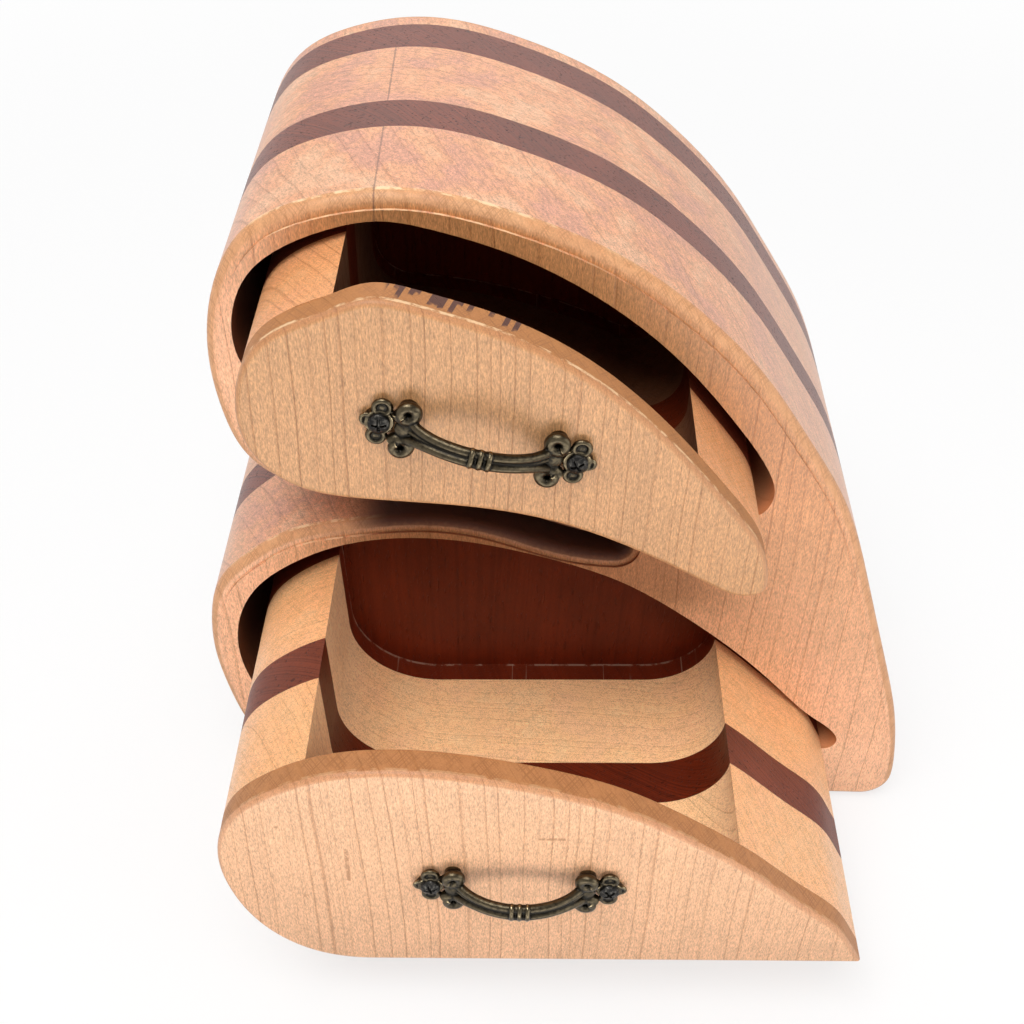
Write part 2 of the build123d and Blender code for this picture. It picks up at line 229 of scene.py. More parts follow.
# %% World and floor
def seen(tree):
    """1 for what the lens or a gloss looks at, 0 for light on its way to the wood."""
    path = tree.nodes.new("ShaderNodeLightPath")
    looked = calc(tree, "MAXIMUM", path.outputs["Is Camera Ray"], path.outputs["Is Glossy Ray"])
    return calc(tree, "MAXIMUM", looked, path.outputs["Is Transmission Ray"])


HORIZON_LIGHT, ZENITH_LIGHT, GREY_ABOVE, GREY_FROM = 0.14, 0.42, 0.25, (0.25, 0.7)
world = bpy.data.worlds.new("studio")
scene.world = world
world.use_nodes = True
sky = world.node_tree
heading = sky.nodes.new("ShaderNodeTexCoord").outputs["Generated"]
high = fade(sky, parts_of(sky, heading)["Z"], *GREY_FROM)
lighting = scaled(sky, high, ZENITH_LIGHT - HORIZON_LIGHT, HORIZON_LIGHT)
looking = scaled(sky, high, GREY_ABOVE - 1.0, 1.0)
mixed = blend(sky, seen(sky), lighting, looking)
feed(sky, sky.nodes["Background"].inputs["Color"], mixed)

FLOOR_HALF, FLOOR_PAINT, FLOOR_GLOW, GLOW_FROM = 4.0, 0.9, 0.72, (0.2, 0.7)
floor_mesh = bpy.data.meshes.new("floor")
corners = [(x * FLOOR_HALF, y * FLOOR_HALF, 0.0) for x, y in ((-1, -1), (1, -1), (1, 1), (-1, 1))]
floor_mesh.from_pydata(corners, [], [(0, 1, 2, 3)])
floor = bpy.data.objects.new("floor", floor_mesh)
scene.collection.objects.link(floor)

paper = bpy.data.materials.new("white_floor")
paper.use_nodes = True
tree = paper.node_tree
matt = tree.nodes.new("ShaderNodeBsdfDiffuse")
matt.inputs["Color"].default_value = (FLOOR_PAINT, FLOOR_PAINT, FLOOR_PAINT, 1.0)
glow = tree.nodes.new("ShaderNodeEmission")
shown = tree.nodes.new("ShaderNodeMixShader")
away = tree.nodes.new("ShaderNodeVectorMath")
away.operation = "LENGTH"
feed(tree, away.inputs[0], tree.nodes.new("ShaderNodeTexCoord").outputs["Object"])
farther = fade(tree, away.outputs["Value"], *GLOW_FROM)
shine = scaled(tree, farther, 1.0 - FLOOR_GLOW, FLOOR_GLOW)
feed(tree, shown.inputs["Fac"], times(tree, seen(tree), shine))
feed(tree, shown.inputs[1], matt.outputs["BSDF"])
feed(tree, shown.inputs[2], glow.outputs["Emission"])
feed(tree, tree.nodes["Material Output"].inputs["Surface"], shown.outputs["Shader"])
floor_mesh.materials.append(paper)
print("world light", HORIZON_LIGHT, "to", ZENITH_LIGHT)

# %% [markdown]
# ## Softboxes
# Large area lamps do what softboxes do in a studio: one hangs over the front of the box and lights
# the tops and the insides, one stands behind and above and puts the satin sheen on the curved top, and
# a weaker one fills the right side. Each is aimed at the middle of the box. The fronts get their
# light from a white card that lies on the table before the box and throws it upwards, which is why the
# bows cast their shadows up the wood and the valley between the lobes stays dark.


# %% Lamps
def softbox(name, place, wide, high, watts):
    """A soft rectangular lamp that looks at the middle of the box."""
    data = bpy.data.lights.new(name, "AREA")
    data.shape = "RECTANGLE"
    data.size = wide
    data.size_y = high
    data.energy = watts
    lamp = bpy.data.objects.new(name, data)
    scene.collection.objects.link(lamp)
    middle = (cad_box[0] + cad_box[1]) / 2
    lamp.location = place
    lamp.rotation_euler = (middle - Vector(place)).to_track_quat("-Z", "Y").to_euler()
    return lamp


softbox("softbox_above", (-0.2, -0.36, 1.05), 0.8, 0.6, 9.4)
softbox("softbox_behind", (0.1, 0.95, 0.85), 1.3, 0.8, 3.0)
softbox("softbox_right", (0.85, -0.4, 0.3), 0.6, 0.5, 1.9)
card = softbox("reflector_card", (0.03, -0.27, 0.004), 0.42, 0.2, 0.7)
card.rotation_euler = (math.pi, 0.0, 0.0)
card.visible_camera = False

# %% [markdown]
# ## Wood grain as a solid
# The layers are sawn from boards, so the grain runs through them: growth lines on a front face carry
# on as rings over the top edge. A flat picture on each face would never meet at the edges. A shader
# that reads the place in space does it by itself. The fibres stand upright here, and the rings are
# planes that stand on edge, so one number across the rings draws lines on the fronts and slanting
# lines on the tops. The pattern is a node group, because every board of both woods uses it.


# %% Group helpers
VECTOR, NUMBER, COLOUR, COUNT = "NodeSocketVector", "NodeSocketFloat", "NodeSocketColor", "NodeSocketInt"


def make_group(name, inputs, outputs):
    """An empty shader group with named sockets: the group, its inputs and its outputs."""
    group = bpy.data.node_groups.new(name, "ShaderNodeTree")
    for direction, sockets in (("INPUT", inputs), ("OUTPUT", outputs)):
        for label, kind in sockets.items():
            group.interface.new_socket(name=label, in_out=direction, socket_type=kind)
    return group, group.nodes.new("NodeGroupInput").outputs, group.nodes.new("NodeGroupOutput").inputs


def use(tree, group, **values):
    """Place a shader group, with its inputs set by name."""
    made = tree.nodes.new("ShaderNodeGroup")
    made.node_tree = group
    for label, value in values.items():
        feed(tree, made.inputs[label], value)
    return made.outputs


# %% Board grain group
DRIFT_PER_MM = (0.02, 0.02, 0.008)
SPECKLE_PER_MM = (4.2, 4.2, 1.0)
FLECK_PER_MM = (1.6, 0.7, 0.25)
CLOUD_PER_MM = (0.085, 0.07, 0.05)
PORE_PER_MM = (1.9, 1.9, 0.3)
grain_group, given, result = make_group(
    "board_grain",
    {"Place": VECTOR, "Pitch": NUMBER, "Wander": NUMBER},
    {label: NUMBER for label in ("Line", "Fine", "Speckle", "Fleck", "Blotch", "Pore")})
tree, spot = grain_group, given["Place"]
drift = calc(tree, "SUBTRACT", noise(tree, stretched(tree, spot, *DRIFT_PER_MM), 1.0), 0.5)
ring = scaled(tree, drift, given["Wander"], parts_of(tree, spot)["X"])
ring = calc(tree, "DIVIDE", ring, given["Pitch"])
uneven = line_noise(tree, times(tree, ring, 0.6), 1.0)
year = scaled(tree, uneven, 1.6, ring)
season = calc(tree, "FRACT", year)
late = calc(tree, "SUBTRACT", fade(tree, season, 0.78, 0.92), fade(tree, season, 0.94, 1.0))
lead = times(tree, calc(tree, "POWER", season, 3.0), 0.25)
strong = fade(tree, line_noise(tree, times(tree, year, 0.9), 0.0), 0.3, 0.62)
feed(tree, result["Line"], times(tree, calc(tree, "ADD", late, lead), strong))
feed(tree, result["Fine"], line_noise(tree, times(tree, ring, 4.0), 3.0, 0.6))
feed(tree, result["Speckle"], noise(tree, stretched(tree, spot, *SPECKLE_PER_MM), 1.0, 2.0, 0.7))
feed(tree, result["Fleck"], noise(tree, stretched(tree, spot, *FLECK_PER_MM), 1.0, 3.0, 0.75))
feed(tree, result["Blotch"], noise(tree, stretched(tree, spot, *CLOUD_PER_MM), 1.0, 4.0, 0.6))
pore = noise(tree, stretched(tree, spot, *PORE_PER_MM), 1.0, 1.0, 0.4)
feed(tree, result["Pore"], fade(tree, pore, 0.62, 0.74))
print("group", grain_group.name, "makes", [socket.name for socket in result if socket.name])

# %% [markdown]
# ## Marks of tools, and broken dashes
# The edges that the band saw and the sander left show fine crossing scratches: two families of parallel
# lines, broken into patches. A second group breaks lines into irregular dashes: the painted highlights
# along the edges and the lines of dry glue. A third group tells the inside of an opening or a pocket from
# its outside: a wall that faces the middle is inside. Each gives a mask, and each board decides what it
# does with it.

# %% Scratch, dash and inside groups
MARK_TURN = math.radians(38.0)
DASHES_PER_MM = 0.33
marks_group, given, result = make_group("tool_marks", {"Place": VECTOR, "Pitch": NUMBER}, {"Mask": NUMBER})
tree = marks_group
axes = parts_of(tree, given["Place"])
families = []
for side in (-1.0, 1.0):
    slant = times(tree, axes["Y"], side * math.sin(MARK_TURN))
    slant = scaled(tree, axes["X"], math.cos(MARK_TURN), slant)
    slant = scaled(tree, axes["Z"], 0.25 * side, slant)
    slant = calc(tree, "DIVIDE", slant, given["Pitch"])
    families.append(fade(tree, line_noise(tree, slant, 1.0, 0.6), 0.48, 0.6))
patches = fade(tree, noise(tree, given["Place"], 0.3, 3.0), 0.38, 0.58)
feed(tree, result["Mask"], times(tree, calc(tree, "MAXIMUM", *families), patches))

# These dashes break up the painted highlights along the edges and the lines of dry glue.
dashes_group, given, result = make_group("worn_dashes", {"Place": VECTOR}, {"Mask": NUMBER})
tree = dashes_group
feed(tree, result["Mask"], fade(tree, noise(tree, given["Place"], DASHES_PER_MM, 4.0, 0.65), 0.42, 0.58))

inside_group, given, result = make_group(
    "inside_wall", {"Place": VECTOR, "Facing": VECTOR, "Middle": VECTOR, "From": NUMBER}, {"Mask": NUMBER})
tree = inside_group
away = parts_of(tree, vector(tree, "SUBTRACT", given["Place"], given["Middle"]))
look = parts_of(tree, given["Facing"])
outwards = scaled(tree, away["Z"], look["Z"], times(tree, away["X"], look["X"]))
feed(tree, result["Mask"], unless(tree, fade(tree, outwards, given["From"], -1.0)))
print("groups", marks_group.name, dashes_group.name, inside_group.name)

# %% [markdown]
# ## How a board starts
# Each wood material begins the same way: a Principled shader, the place in millimetres turned about
# the upright fibres so that X crosses that board's rings, and the direction that the surface faces.
# It ends the same way too, with a satin finish: a soft coat over wood whose fibres can just be felt.


# %% Start and finish of a wood material
def place_mm(tree, turn=0.0):
    """The place of a point in millimetres, turned about Z."""
    made = tree.nodes.new("ShaderNodeMapping")
    made.inputs["Scale"].default_value = (1.0 / MM, 1.0 / MM, 1.0 / MM)
    made.inputs["Rotation"].default_value = (0.0, 0.0, turn)
    feed(tree, made.inputs["Vector"], tree.nodes.new("ShaderNodeTexCoord").outputs["Object"])
    return made.outputs["Vector"]


def facing(tree):
    """The direction that the surface faces."""
    return tree.nodes.new("ShaderNodeNewGeometry").outputs["Normal"]


def start_material(name):
    """A new material, its tree and the inputs of its shader."""
    material = bpy.data.materials.new(name)
    material.use_nodes = True
    return material, material.node_tree, material.node_tree.nodes["Principled BSDF"].inputs


def relief(tree, height, depth_mm):
    """A normal raised or sunk by a height, by hundredths of a millimetre."""
    made = tree.nodes.new("ShaderNodeBump")
    made.inputs["Strength"].default_value = 1.0
    made.inputs["Distance"].default_value = depth_mm * MM
    feed(tree, made.inputs["Height"], height)
    return made.outputs["Normal"]


FIBRE_MM, COAT_ROUGH, WOOD_SPECULAR = 0.05, 0.36, 0.35


def satin(tree, shader, tint, rough, height, coat):
    """Finish a wood shader: colour, gloss and the feel of the grain."""
    feed(tree, shader["Base Color"], tint)
    feed(tree, shader["Roughness"], rough)
    feed(tree, shader["Normal"], relief(tree, height, FIBRE_MM))
    feed(tree, shader["Coat Weight"], coat)
    shader["Coat Roughness"].default_value = COAT_ROUGH
    shader["Specular IOR Level"].default_value = WOOD_SPECULAR


print("fibres felt by", FIBRE_MM, "mm under a coat of roughness", COAT_ROUGH)

# %% [markdown]
# ## Maple
# The pale boards are maple: cream to honey, with faint darker growth lines a few millimetres apart,
# short flecks along the fibres, and deeper orange where the fibres end. Where the cut goes across the
# fibres, oil soaks in and the wood is cloudier, and how far a face looks up or down tells end grain
# from side grain. The colour is built up from the lines to the clouds and the flecks, in a group that
# nine boards share. Each board passes the turn of its rings and its tone.

# %% Maple group
MAPLE_SIDE = (0.8, 0.455, 0.245, 1.0)
MAPLE_LINE = (0.46, 0.21, 0.085, 1.0)
MAPLE_END = (0.8, 0.4, 0.185, 1.0)
MAPLE_END_LINE = (0.42, 0.165, 0.055, 1.0)
MAPLE_DEEP = (0.34, 0.14, 0.05, 1.0)
MAPLE_PALE = (0.95, 0.68, 0.4, 1.0)
MAPLE_CLOUD = (0.52, 0.25, 0.17, 1.0)
MAPLE_WANDER = 9.0
maple_group, given, result = make_group(
    "maple",
    {"Place": VECTOR, "Facing": VECTOR, "Pitch": NUMBER,
     "Contrast": NUMBER, "Cloudy": NUMBER, "Tone": COLOUR},
    {"Colour": COLOUR, "Height": NUMBER})
tree = maple_group
grain = use(tree, grain_group, Place=given["Place"], Pitch=given["Pitch"], Wander=MAPLE_WANDER)
ends = fade(tree, calc(tree, "ABSOLUTE", parts_of(tree, given["Facing"])["Z"]), 0.2, 0.85)
fine = times(tree, fade(tree, grain["Fine"], 0.45, 0.75), 0.22)
amount = scaled(tree, grain["Line"], given["Contrast"], fine)
side_grain = blend(tree, amount, MAPLE_SIDE, MAPLE_LINE)
end_grain = blend(tree, amount, MAPLE_END, MAPLE_END_LINE)
tint = blend(tree, ends, side_grain, end_grain)
tint = blend(tree, times(tree, grain["Pore"], 0.15), tint, MAPLE_DEEP)
dark_cloud = times(tree, fade(tree, grain["Blotch"], 0.46, 0.64), scaled(tree, ends, 0.5, 0.1))
tint = blend(tree, times(tree, dark_cloud, given["Cloudy"]), tint, MAPLE_CLOUD)
pale_cloud = unless(tree, fade(tree, grain["Blotch"], 0.36, 0.5))
tint = blend(tree, times(tree, pale_cloud, ends, 0.35, given["Cloudy"]), tint, MAPLE_PALE)
shade = scaled(tree, grain["Speckle"], 1.7, 0.15)
flecked = scaled(tree, times(tree, ends, given["Cloudy"]), 1.2, 0.3)
shade = scaled(tree, calc(tree, "SUBTRACT", grain["Fleck"], 0.5), flecked, shade)
shade = times(tree, shade, scaled(tree, grain["Blotch"], 0.4, 0.8))
tint = blend(tree, 1.0, tint, shade, "MULTIPLY")
feed(tree, result["Colour"], blend(tree, 1.0, tint, given["Tone"], "MULTIPLY"))
feed(tree, result["Height"], calc(tree, "SUBTRACT", grain["Speckle"], grain["Line"]))


def maple(tree, turn, pitch, contrast, cloudy, tone):
    """The colour of a maple board, and the height of its fibres."""
    made = use(tree, maple_group, Place=place_mm(tree, turn), Facing=facing(tree), Pitch=pitch,
               Contrast=contrast, Cloudy=cloudy, Tone=tone)
    return made["Colour"], made["Height"]


print("maple side", MAPLE_SIDE[:3], "end", MAPLE_END[:3])

# %% [markdown]
# ## The body's maple layers
# Outside, the body is sanded and oiled to a satin sheen. Its flat faces carry painted light low down and on
# the left, painted shade high on the right, and the painted shadow of the upper drawer below the valley.
# Inside the drawer openings the saw left the wood raw and deeper in colour, and the left walls are painted
# dark for their shade. The front layer also has a rounded edge with saw marks, a painted highlight along
# its top and a painted line along its step, pale where it faces up and dark in the crease. A thin dark glue
# seam crosses the top of the front and middle layers, where the saw went in to reach the upper opening and
# the cut was glued shut again. Deep in the valley between the lobes the wood is painted dark for the shade
# under the upper lobe and drawer. First come the measures that these finishes share.

# %% Places on the body
Y_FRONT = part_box("body_front_layer")[0].y / MM
EDGE_MM, STEP_MM = 3.0, 0.6
MIDDLES = {"upper": (-15.0, 0.0, 137.0), "lower": (-10.0, 0.0, 50.0)}
OPENING_FROM, POCKET_FROM = -3.0, -2.5
VALLEY_LEFT, VALLEY_TIP = (-30.0, 98.0), (12.0, 87.5)
VALLEY_HALF, VALLEY_X, VALLEY_END_X = 7.5, (-40.0, 24.0), (3.0, 6.0)
SEAM_X, SEAM_SLANT, SEAM_ABOVE = -40.3, -0.019, 156.0


def above_valley(tree, place):
    """How far a point is above the middle of the valley between the lobes."""
    run = calc(tree, "SUBTRACT", place["X"], VALLEY_LEFT[0])
    run = calc(tree, "MINIMUM", calc(tree, "MAXIMUM", run, 0.0), VALLEY_TIP[0] - VALLEY_LEFT[0])
    slope = (VALLEY_TIP[1] - VALLEY_LEFT[1]) / (VALLEY_TIP[0] - VALLEY_LEFT[0])
    return calc(tree, "SUBTRACT", place["Z"], scaled(tree, run, slope, VALLEY_LEFT[1]))


def inside_opening(tree, whole, look, above, valley):
    """1 on the walls of the drawer openings, 0 on the outside of the body and at the valley's end."""
    upper = fade(tree, above, -0.1, 0.1)
    middle = tree.nodes.new("ShaderNodeCombineXYZ")
    for socket, high, low in zip(middle.inputs, MIDDLES["upper"], MIDDLES["lower"]):
        feed(tree, socket, scaled(tree, upper, high - low, low))
    walls = use(tree, inside_group, Place=whole, Facing=look, Middle=middle.outputs[0], From=OPENING_FROM)
    valley_end = times(tree, valley, fade(tree, parts_of(tree, whole)["X"], *VALLEY_END_X))
    return times(tree, walls["Mask"], unless(tree, valley_end))


def body_point(tree):
    """What the body's finishes ask of a point: its place, how it faces and which part it is on."""
    whole, look = place_mm(tree), facing(tree)
    place, normal = parts_of(tree, whole), parts_of(tree, look)
    ragged = noise(tree, whole, 1.3)
    behind = calc(tree, "SUBTRACT", place["Y"], Y_FRONT)
    flat = calc(tree, "ABSOLUTE", normal["Y"])
    face = fade(tree, flat, 0.9, 0.99)
    above = above_valley(tree, place)
    valley = times(tree, within(tree, place["X"], *VALLEY_X, 12.0),
                   within(tree, above, -VALLEY_HALF, VALLEY_HALF, 1.5))
    return SimpleNamespace(
        place=place, normal=normal, ragged=ragged, face=face, above=above, valley=valley,
        behind=scaled(tree, ragged, 0.5, behind),
        off_face=unless(tree, face),
        bevel=calc(tree, "SUBTRACT", fade(tree, flat, 0.02, 0.1), face),
        inside=inside_opening(tree, whole, look, above, valley),
        dashes=use(tree, dashes_group, Place=whole)["Mask"],
        marks=use(tree, marks_group, Place=whole, Pitch=0.4)["Mask"])


print("front face at", round(Y_FRONT, 1), "mm")

# %% [markdown]
# ### Layer by layer of colour
# All this could be one long formula, but it is easier to follow and to change as layers: the painted
# light and shade of the faces, the edges with their painted highlights, the raw walls of the openings with
# painted shade on the left, the seam, and last the painted shade of the valley. Each is a short function
# that lays its colours over what is there.

# %% Painted light and shade of the faces, and the edges
# Painted light and shade on the flat faces: lighter low and on the left, darker high on the right.
FOOT_LIGHT_TONE, HEAD_SHADE_TONE = (1.34, 1.4, 1.36, 1.0), (0.78, 0.66, 0.42, 1.0)
HEAD_SHADE_Z, HEAD_SHADE_X = (15.0, 140.0), (-85.0, -45.0)
# Painted shadow of the upper drawer on the face just below the valley.
DRAWER_SHADOW_TONE, DRAWER_SHADOW_ABOVE, DRAWER_SHADOW_X = (0.7, 0.64, 0.58, 1.0), (-14.0, 2.0), (-40.0, 22.0)
EDGE_WOOD = (0.68, 0.34, 0.145, 1.0)
# Painted highlights on the edges fade out to the right across this span.
HIGHLIGHT_X = (-25.0, 15.0)


def face_tones(tree, tint, at):
    """The flat faces: painted light low and on the left, painted shade high on the right, and the painted
    shadow of the upper drawer below the valley.
    """
    head = times(tree, fade(tree, at.place["Z"], *HEAD_SHADE_Z), fade(tree, at.place["X"], *HEAD_SHADE_X))
    tint = blend(tree, at.face, tint, blend(tree, head, FOOT_LIGHT_TONE, HEAD_SHADE_TONE), "MULTIPLY")
    # Painted shadow of the upper drawer below the valley.
    drawer_shadow = times(tree, within(tree, at.above, *DRAWER_SHADOW_ABOVE, 6.0), within(tree, at.place["X"], *DRAWER_SHADOW_X, 18.0))
    return blend(tree, times(tree, drawer_shadow, at.face), tint, DRAWER_SHADOW_TONE, "MULTIPLY")


def edge_marks_and_highlights(tree, tint, at):
    """The rounded edge: browner and scratched, with a painted highlight along its top and a painted line
    along the step, pale where it faces up on the left and dark in the crease elsewhere.
    """
    tint = blend(tree, times(tree, at.bevel, 0.65), tint, EDGE_WOOD)
    scratched = times(tree, at.marks, scaled(tree, at.bevel, 0.22, 0.16))
    tint = blend(tree, scratched, tint, MAPLE_DEEP)
    left_part = unless(tree, fade(tree, at.place["X"], *HIGHLIGHT_X))
    # Painted highlight: a pale broken line along the top of the rounded edge, where it faces up.
    arris = within(tree, at.behind, EDGE_MM - 0.2, EDGE_MM + 0.3, 0.3)
    arris = times(tree, arris, fade(tree, at.normal["Z"], 0.55, 0.95), left_part, at.dashes)
    tint = blend(tree, times(tree, arris, 0.85), tint, MAPLE_PALE)
    # Painted line along the step: pale where it faces up on the left, dark in the crease elsewhere.
    step = times(tree, within(tree, at.behind, 0.25, STEP_MM + 0.25, 0.1), at.off_face, at.dashes,
                 unless(tree, at.valley))
    lit = times(tree, fade(tree, at.normal["Z"], 0.6, 0.9), left_part)
    return blend(tree, times(tree, step, 0.75), tint, blend(tree, lit, MAPLE_DEEP, MAPLE_PALE))


print("face tones", FOOT_LIGHT_TONE[:3], "to", HEAD_SHADE_TONE[:3])

# %% The saw cuts, with painted shade
RAW_WOOD = (0.66, 0.27, 0.11, 1.0)
# Painted shade: near black for the left walls of the openings and deep in the valley, brown at the valley's
# rim.
PAINTED_SHADE_DARK, SHADED_LEFT_X = (0.07, 0.022, 0.012, 1.0), (-62.0, -38.0)
VALLEY_RIM_SHADE = (0.24, 0.1, 0.045, 1.0)
SEAM_COLOUR = (0.13, 0.055, 0.035, 1.0)


def raw_openings_with_shade(tree, tint, at):
    """The walls of the openings, raw from the saw, with painted shade on the left walls."""
    tint = blend(tree, times(tree, at.inside, 0.8), tint, RAW_WOOD)
    # Painted shade: the left walls of the openings are made darker.
    shaded_left = unless(tree, fade(tree, at.place["X"], *SHADED_LEFT_X))
    return blend(tree, times(tree, at.inside, shaded_left, 0.85), tint, PAINTED_SHADE_DARK)


def glue_seam(tree, tint, at):
    """A thin line across the top of the upper lobe."""
    line = calc(tree, "SUBTRACT", at.place["Y"], Y_FRONT)
    line = scaled(tree, line, SEAM_SLANT, SEAM_X)
    apart = calc(tree, "ABSOLUTE", calc(tree, "SUBTRACT", at.place["X"], line))
    apart = scaled(tree, at.ragged, 0.4, apart)
    thin = unless(tree, fade(tree, apart, 0.2, 0.5))
    seam = times(tree, thin, fade(tree, at.place["Z"], SEAM_ABOVE - 1.0, SEAM_ABOVE))
    return blend(tree, times(tree, seam, 0.7), tint, SEAM_COLOUR)


def painted_valley_shade(tree, tint, at, outside):
    """Painted shade in the valley: brown at the rim and near black behind it."""
    tint = blend(tree, times(tree, outside, 0.85), tint, VALLEY_RIM_SHADE)
    return blend(tree, times(tree, outside, fade(tree, at.behind, 0.3, 1.8), 0.94), tint, PAINTED_SHADE_DARK)


# Prints the raw wood colour and the colour of the painted shade.
print("raw wood", RAW_WOOD[:3], "shadowed to", PAINTED_SHADE_DARK[:3])

# %% Body boards
BODY_TONE, BODY_PITCH = (0.95, 0.88, 0.95, 1.0), 3.2
PLAIN = (1.0, 1.0, 1.0, 1.0)


def body_board(name, turn, contrast, seam):
    """Maple of one layer of the body."""
    material, tree, shader = start_material(name)
    tint, height = maple(tree, math.radians(turn), BODY_PITCH, contrast, 1.0, BODY_TONE)
    at = body_point(tree)
    # Painted light and shade on the faces, painted highlights on the edges, painted shade on the left walls
    # of the openings.
    for finish in (face_tones, edge_marks_and_highlights, raw_openings_with_shade):
        tint = finish(tree, tint, at)
    if seam:
        tint = glue_seam(tree, tint, at)
    # Painted shade on the walls of the valley.
    outside = times(tree, at.valley, at.off_face, unless(tree, at.inside))
    tint = painted_valley_shade(tree, tint, at, outside)
    raw = calc(tree, "MAXIMUM", at.inside, calc(tree, "MAXIMUM", times(tree, at.bevel, 0.7), outside))
    rough = scaled(tree, raw, 0.2, 0.42)
    satin(tree, shader, tint, rough, height, scaled(tree, raw, -0.45, 0.5))
    return material


finishes = {
    "body_front_layer": body_board("maple_body_front", -26.0, 0.45, True),
    "body_middle_layer": body_board("maple_body_middle", -78.0, 0.3, True),
    "body_back_panel": body_board("maple_body_back", -12.0, 0.4, False),
}
print("body boards", sorted(finishes))

# %% [markdown]
# ## The dark strips
# The strips are a heavy purple-brown wood: dark red in the light, mauve where the satin finish mirrors
# the white room, with short open pores along the fibres. Its group uses the same grain as the maple,
# with other colours, and its pores are sunk a little. Inside a drawer the dark wood is painted darker and
# redder for the reddish shade in the pocket, and it is hardly polished, with dry glue and scrapes where its
# back was glued on.

# %% Dark wood group
DARK_SIDE = (0.2, 0.046, 0.021, 1.0)
DARK_LINE = (0.085, 0.019, 0.01, 1.0)
DARK_PORE = (0.03, 0.008, 0.006, 1.0)
DARK_WANDER = 7.0
TORN_PER_MM = (0.5, 1.3, 0.4)
dark_group, given, result = make_group(
    "dark_wood",
    {"Place": VECTOR, "Upright": VECTOR, "Pitch": NUMBER,
     "Figure": NUMBER, "Porous": NUMBER, "Tone": COLOUR},
    {"Colour": COLOUR, "Roughness": NUMBER, "Height": NUMBER, "Pore": NUMBER})
tree = dark_group
grain = use(tree, grain_group, Place=given["Place"], Pitch=given["Pitch"], Wander=DARK_WANDER)
tint = blend(tree, times(tree, fade(tree, grain["Fine"], 0.4, 0.7), given["Figure"]), DARK_SIDE, DARK_LINE)
tint = blend(tree, times(tree, grain["Line"], 0.85, given["Figure"]), tint, DARK_LINE)
tint = blend(tree, times(tree, grain["Pore"], given["Porous"]), tint, DARK_PORE)
torn = noise(tree, stretched(tree, given["Upright"], *TORN_PER_MM), 1.0, 2.0)
tint = blend(tree, times(tree, fade(tree, torn, 0.66, 0.71), given["Porous"]), tint, DARK_PORE)
shade = scaled(tree, grain["Blotch"], 0.9, 0.55)
shade = times(tree, shade, scaled(tree, grain["Speckle"], 0.7, 0.65))
tint = blend(tree, 1.0, tint, shade, "MULTIPLY")
feed(tree, result["Colour"], blend(tree, 1.0, tint, given["Tone"], "MULTIPLY"))
feed(tree, result["Roughness"], scaled(tree, grain["Speckle"], 0.2, 0.34))
feed(tree, result["Height"], calc(tree, "SUBTRACT", grain["Speckle"], times(tree, grain["Pore"], 2.0)))
feed(tree, result["Pore"], grain["Pore"])
print("dark wood", DARK_SIDE[:3])

# %% Dark boards
# Painted shade: the lining and the strips inside a pocket are darker and redder for the reddish shade there.
LINING_SHADE_RED = (0.72, 0.4, 0.22, 1.0)
POCKET_SHADE_RED = (0.62, 0.36, 0.2, 1.0)
GLUE, GLUE_MM = (0.5, 0.36, 0.27, 1.0), 0.5
STRIP_PITCH, LINING_PITCH = 1.7, 6.0
STRIP_SPECULAR, LINING_SPECULAR = 0.15, 0.2


def dark_board(name, turn, pitch, figure, gloss, porous, tone):
    """A dark board: its material, its tree, its shader's inputs and its colour."""
    material, tree, shader = start_material(name)
    wood = use(tree, dark_group, Place=place_mm(tree, math.radians(turn)), Upright=place_mm(tree),
               Pitch=pitch, Figure=figure, Porous=porous, Tone=tone)
    coat = scaled(tree, wood["Pore"], -gloss, gloss)
    satin(tree, shader, wood["Colour"], wood["Roughness"], wood["Height"], coat)
    return material, tree, shader, wood["Colour"]


def in_pocket(tree, side):
    """1 on the inside of a drawer's pocket, 0 on the outside of its walls."""
    made = use(tree, inside_group, Place=place_mm(tree), Facing=facing(tree),
               Middle=MIDDLES[side], From=POCKET_FROM)
    return made["Mask"]


def drawer_strip(side):
    """The dark strip round a drawer, painted darker and redder for the shade inside the pocket, and duller
    there.
    """
    material, tree, shader, tint = dark_board(
        "dark_" + side + "_strip", -60.0, STRIP_PITCH, 0.7, 0.03, 0.6, PLAIN)
    feed(tree, shader["Base Color"], blend(tree, in_pocket(tree, side), tint, POCKET_SHADE_RED, "MULTIPLY"))
    shader["Specular IOR Level"].default_value = STRIP_SPECULAR
    return material


def drawer_lining(side):
    """The dark back of a drawer and the strip before it, painted darker and redder for the shade deep in the
    pocket, with a broken line of dry glue where they meet.
    """
    material, tree, shader, tint = dark_board(
        "dark_" + side + "_back", -20.0, LINING_PITCH, 0.3, 0.03, 0.2, LINING_SHADE_RED)
    whole = place_mm(tree)
    place = parts_of(tree, whole)
    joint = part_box(side + "_drawer_core_rear")[1].y / MM
    flat = fade(tree, calc(tree, "ABSOLUTE", parts_of(tree, facing(tree))["Y"]), 0.5, 0.8)
    strip_only = times(tree, unless(tree, flat), in_pocket(tree, side))
    line = times(tree, within(tree, place["Y"], joint - GLUE_MM, joint + 0.1, 0.15), strip_only)
    dashes = use(tree, dashes_group, Place=whole)["Mask"]
    tint = blend(tree, times(tree, line, dashes, 0.45), tint, GLUE)
    scrape = fade(tree, line_noise(tree, times(tree, place["X"], 0.9), 2.0), 0.66, 0.74)
    dashes = use(tree, dashes_group, Place=stretched(tree, whole, 0.5, 0.1, 0.1))["Mask"]
    tint = blend(tree, times(tree, scrape, strip_only, dashes, 0.4), tint, GLUE)
    feed(tree, shader["Base Color"], tint)
    shader["Specular IOR Level"].default_value = LINING_SPECULAR
    return material


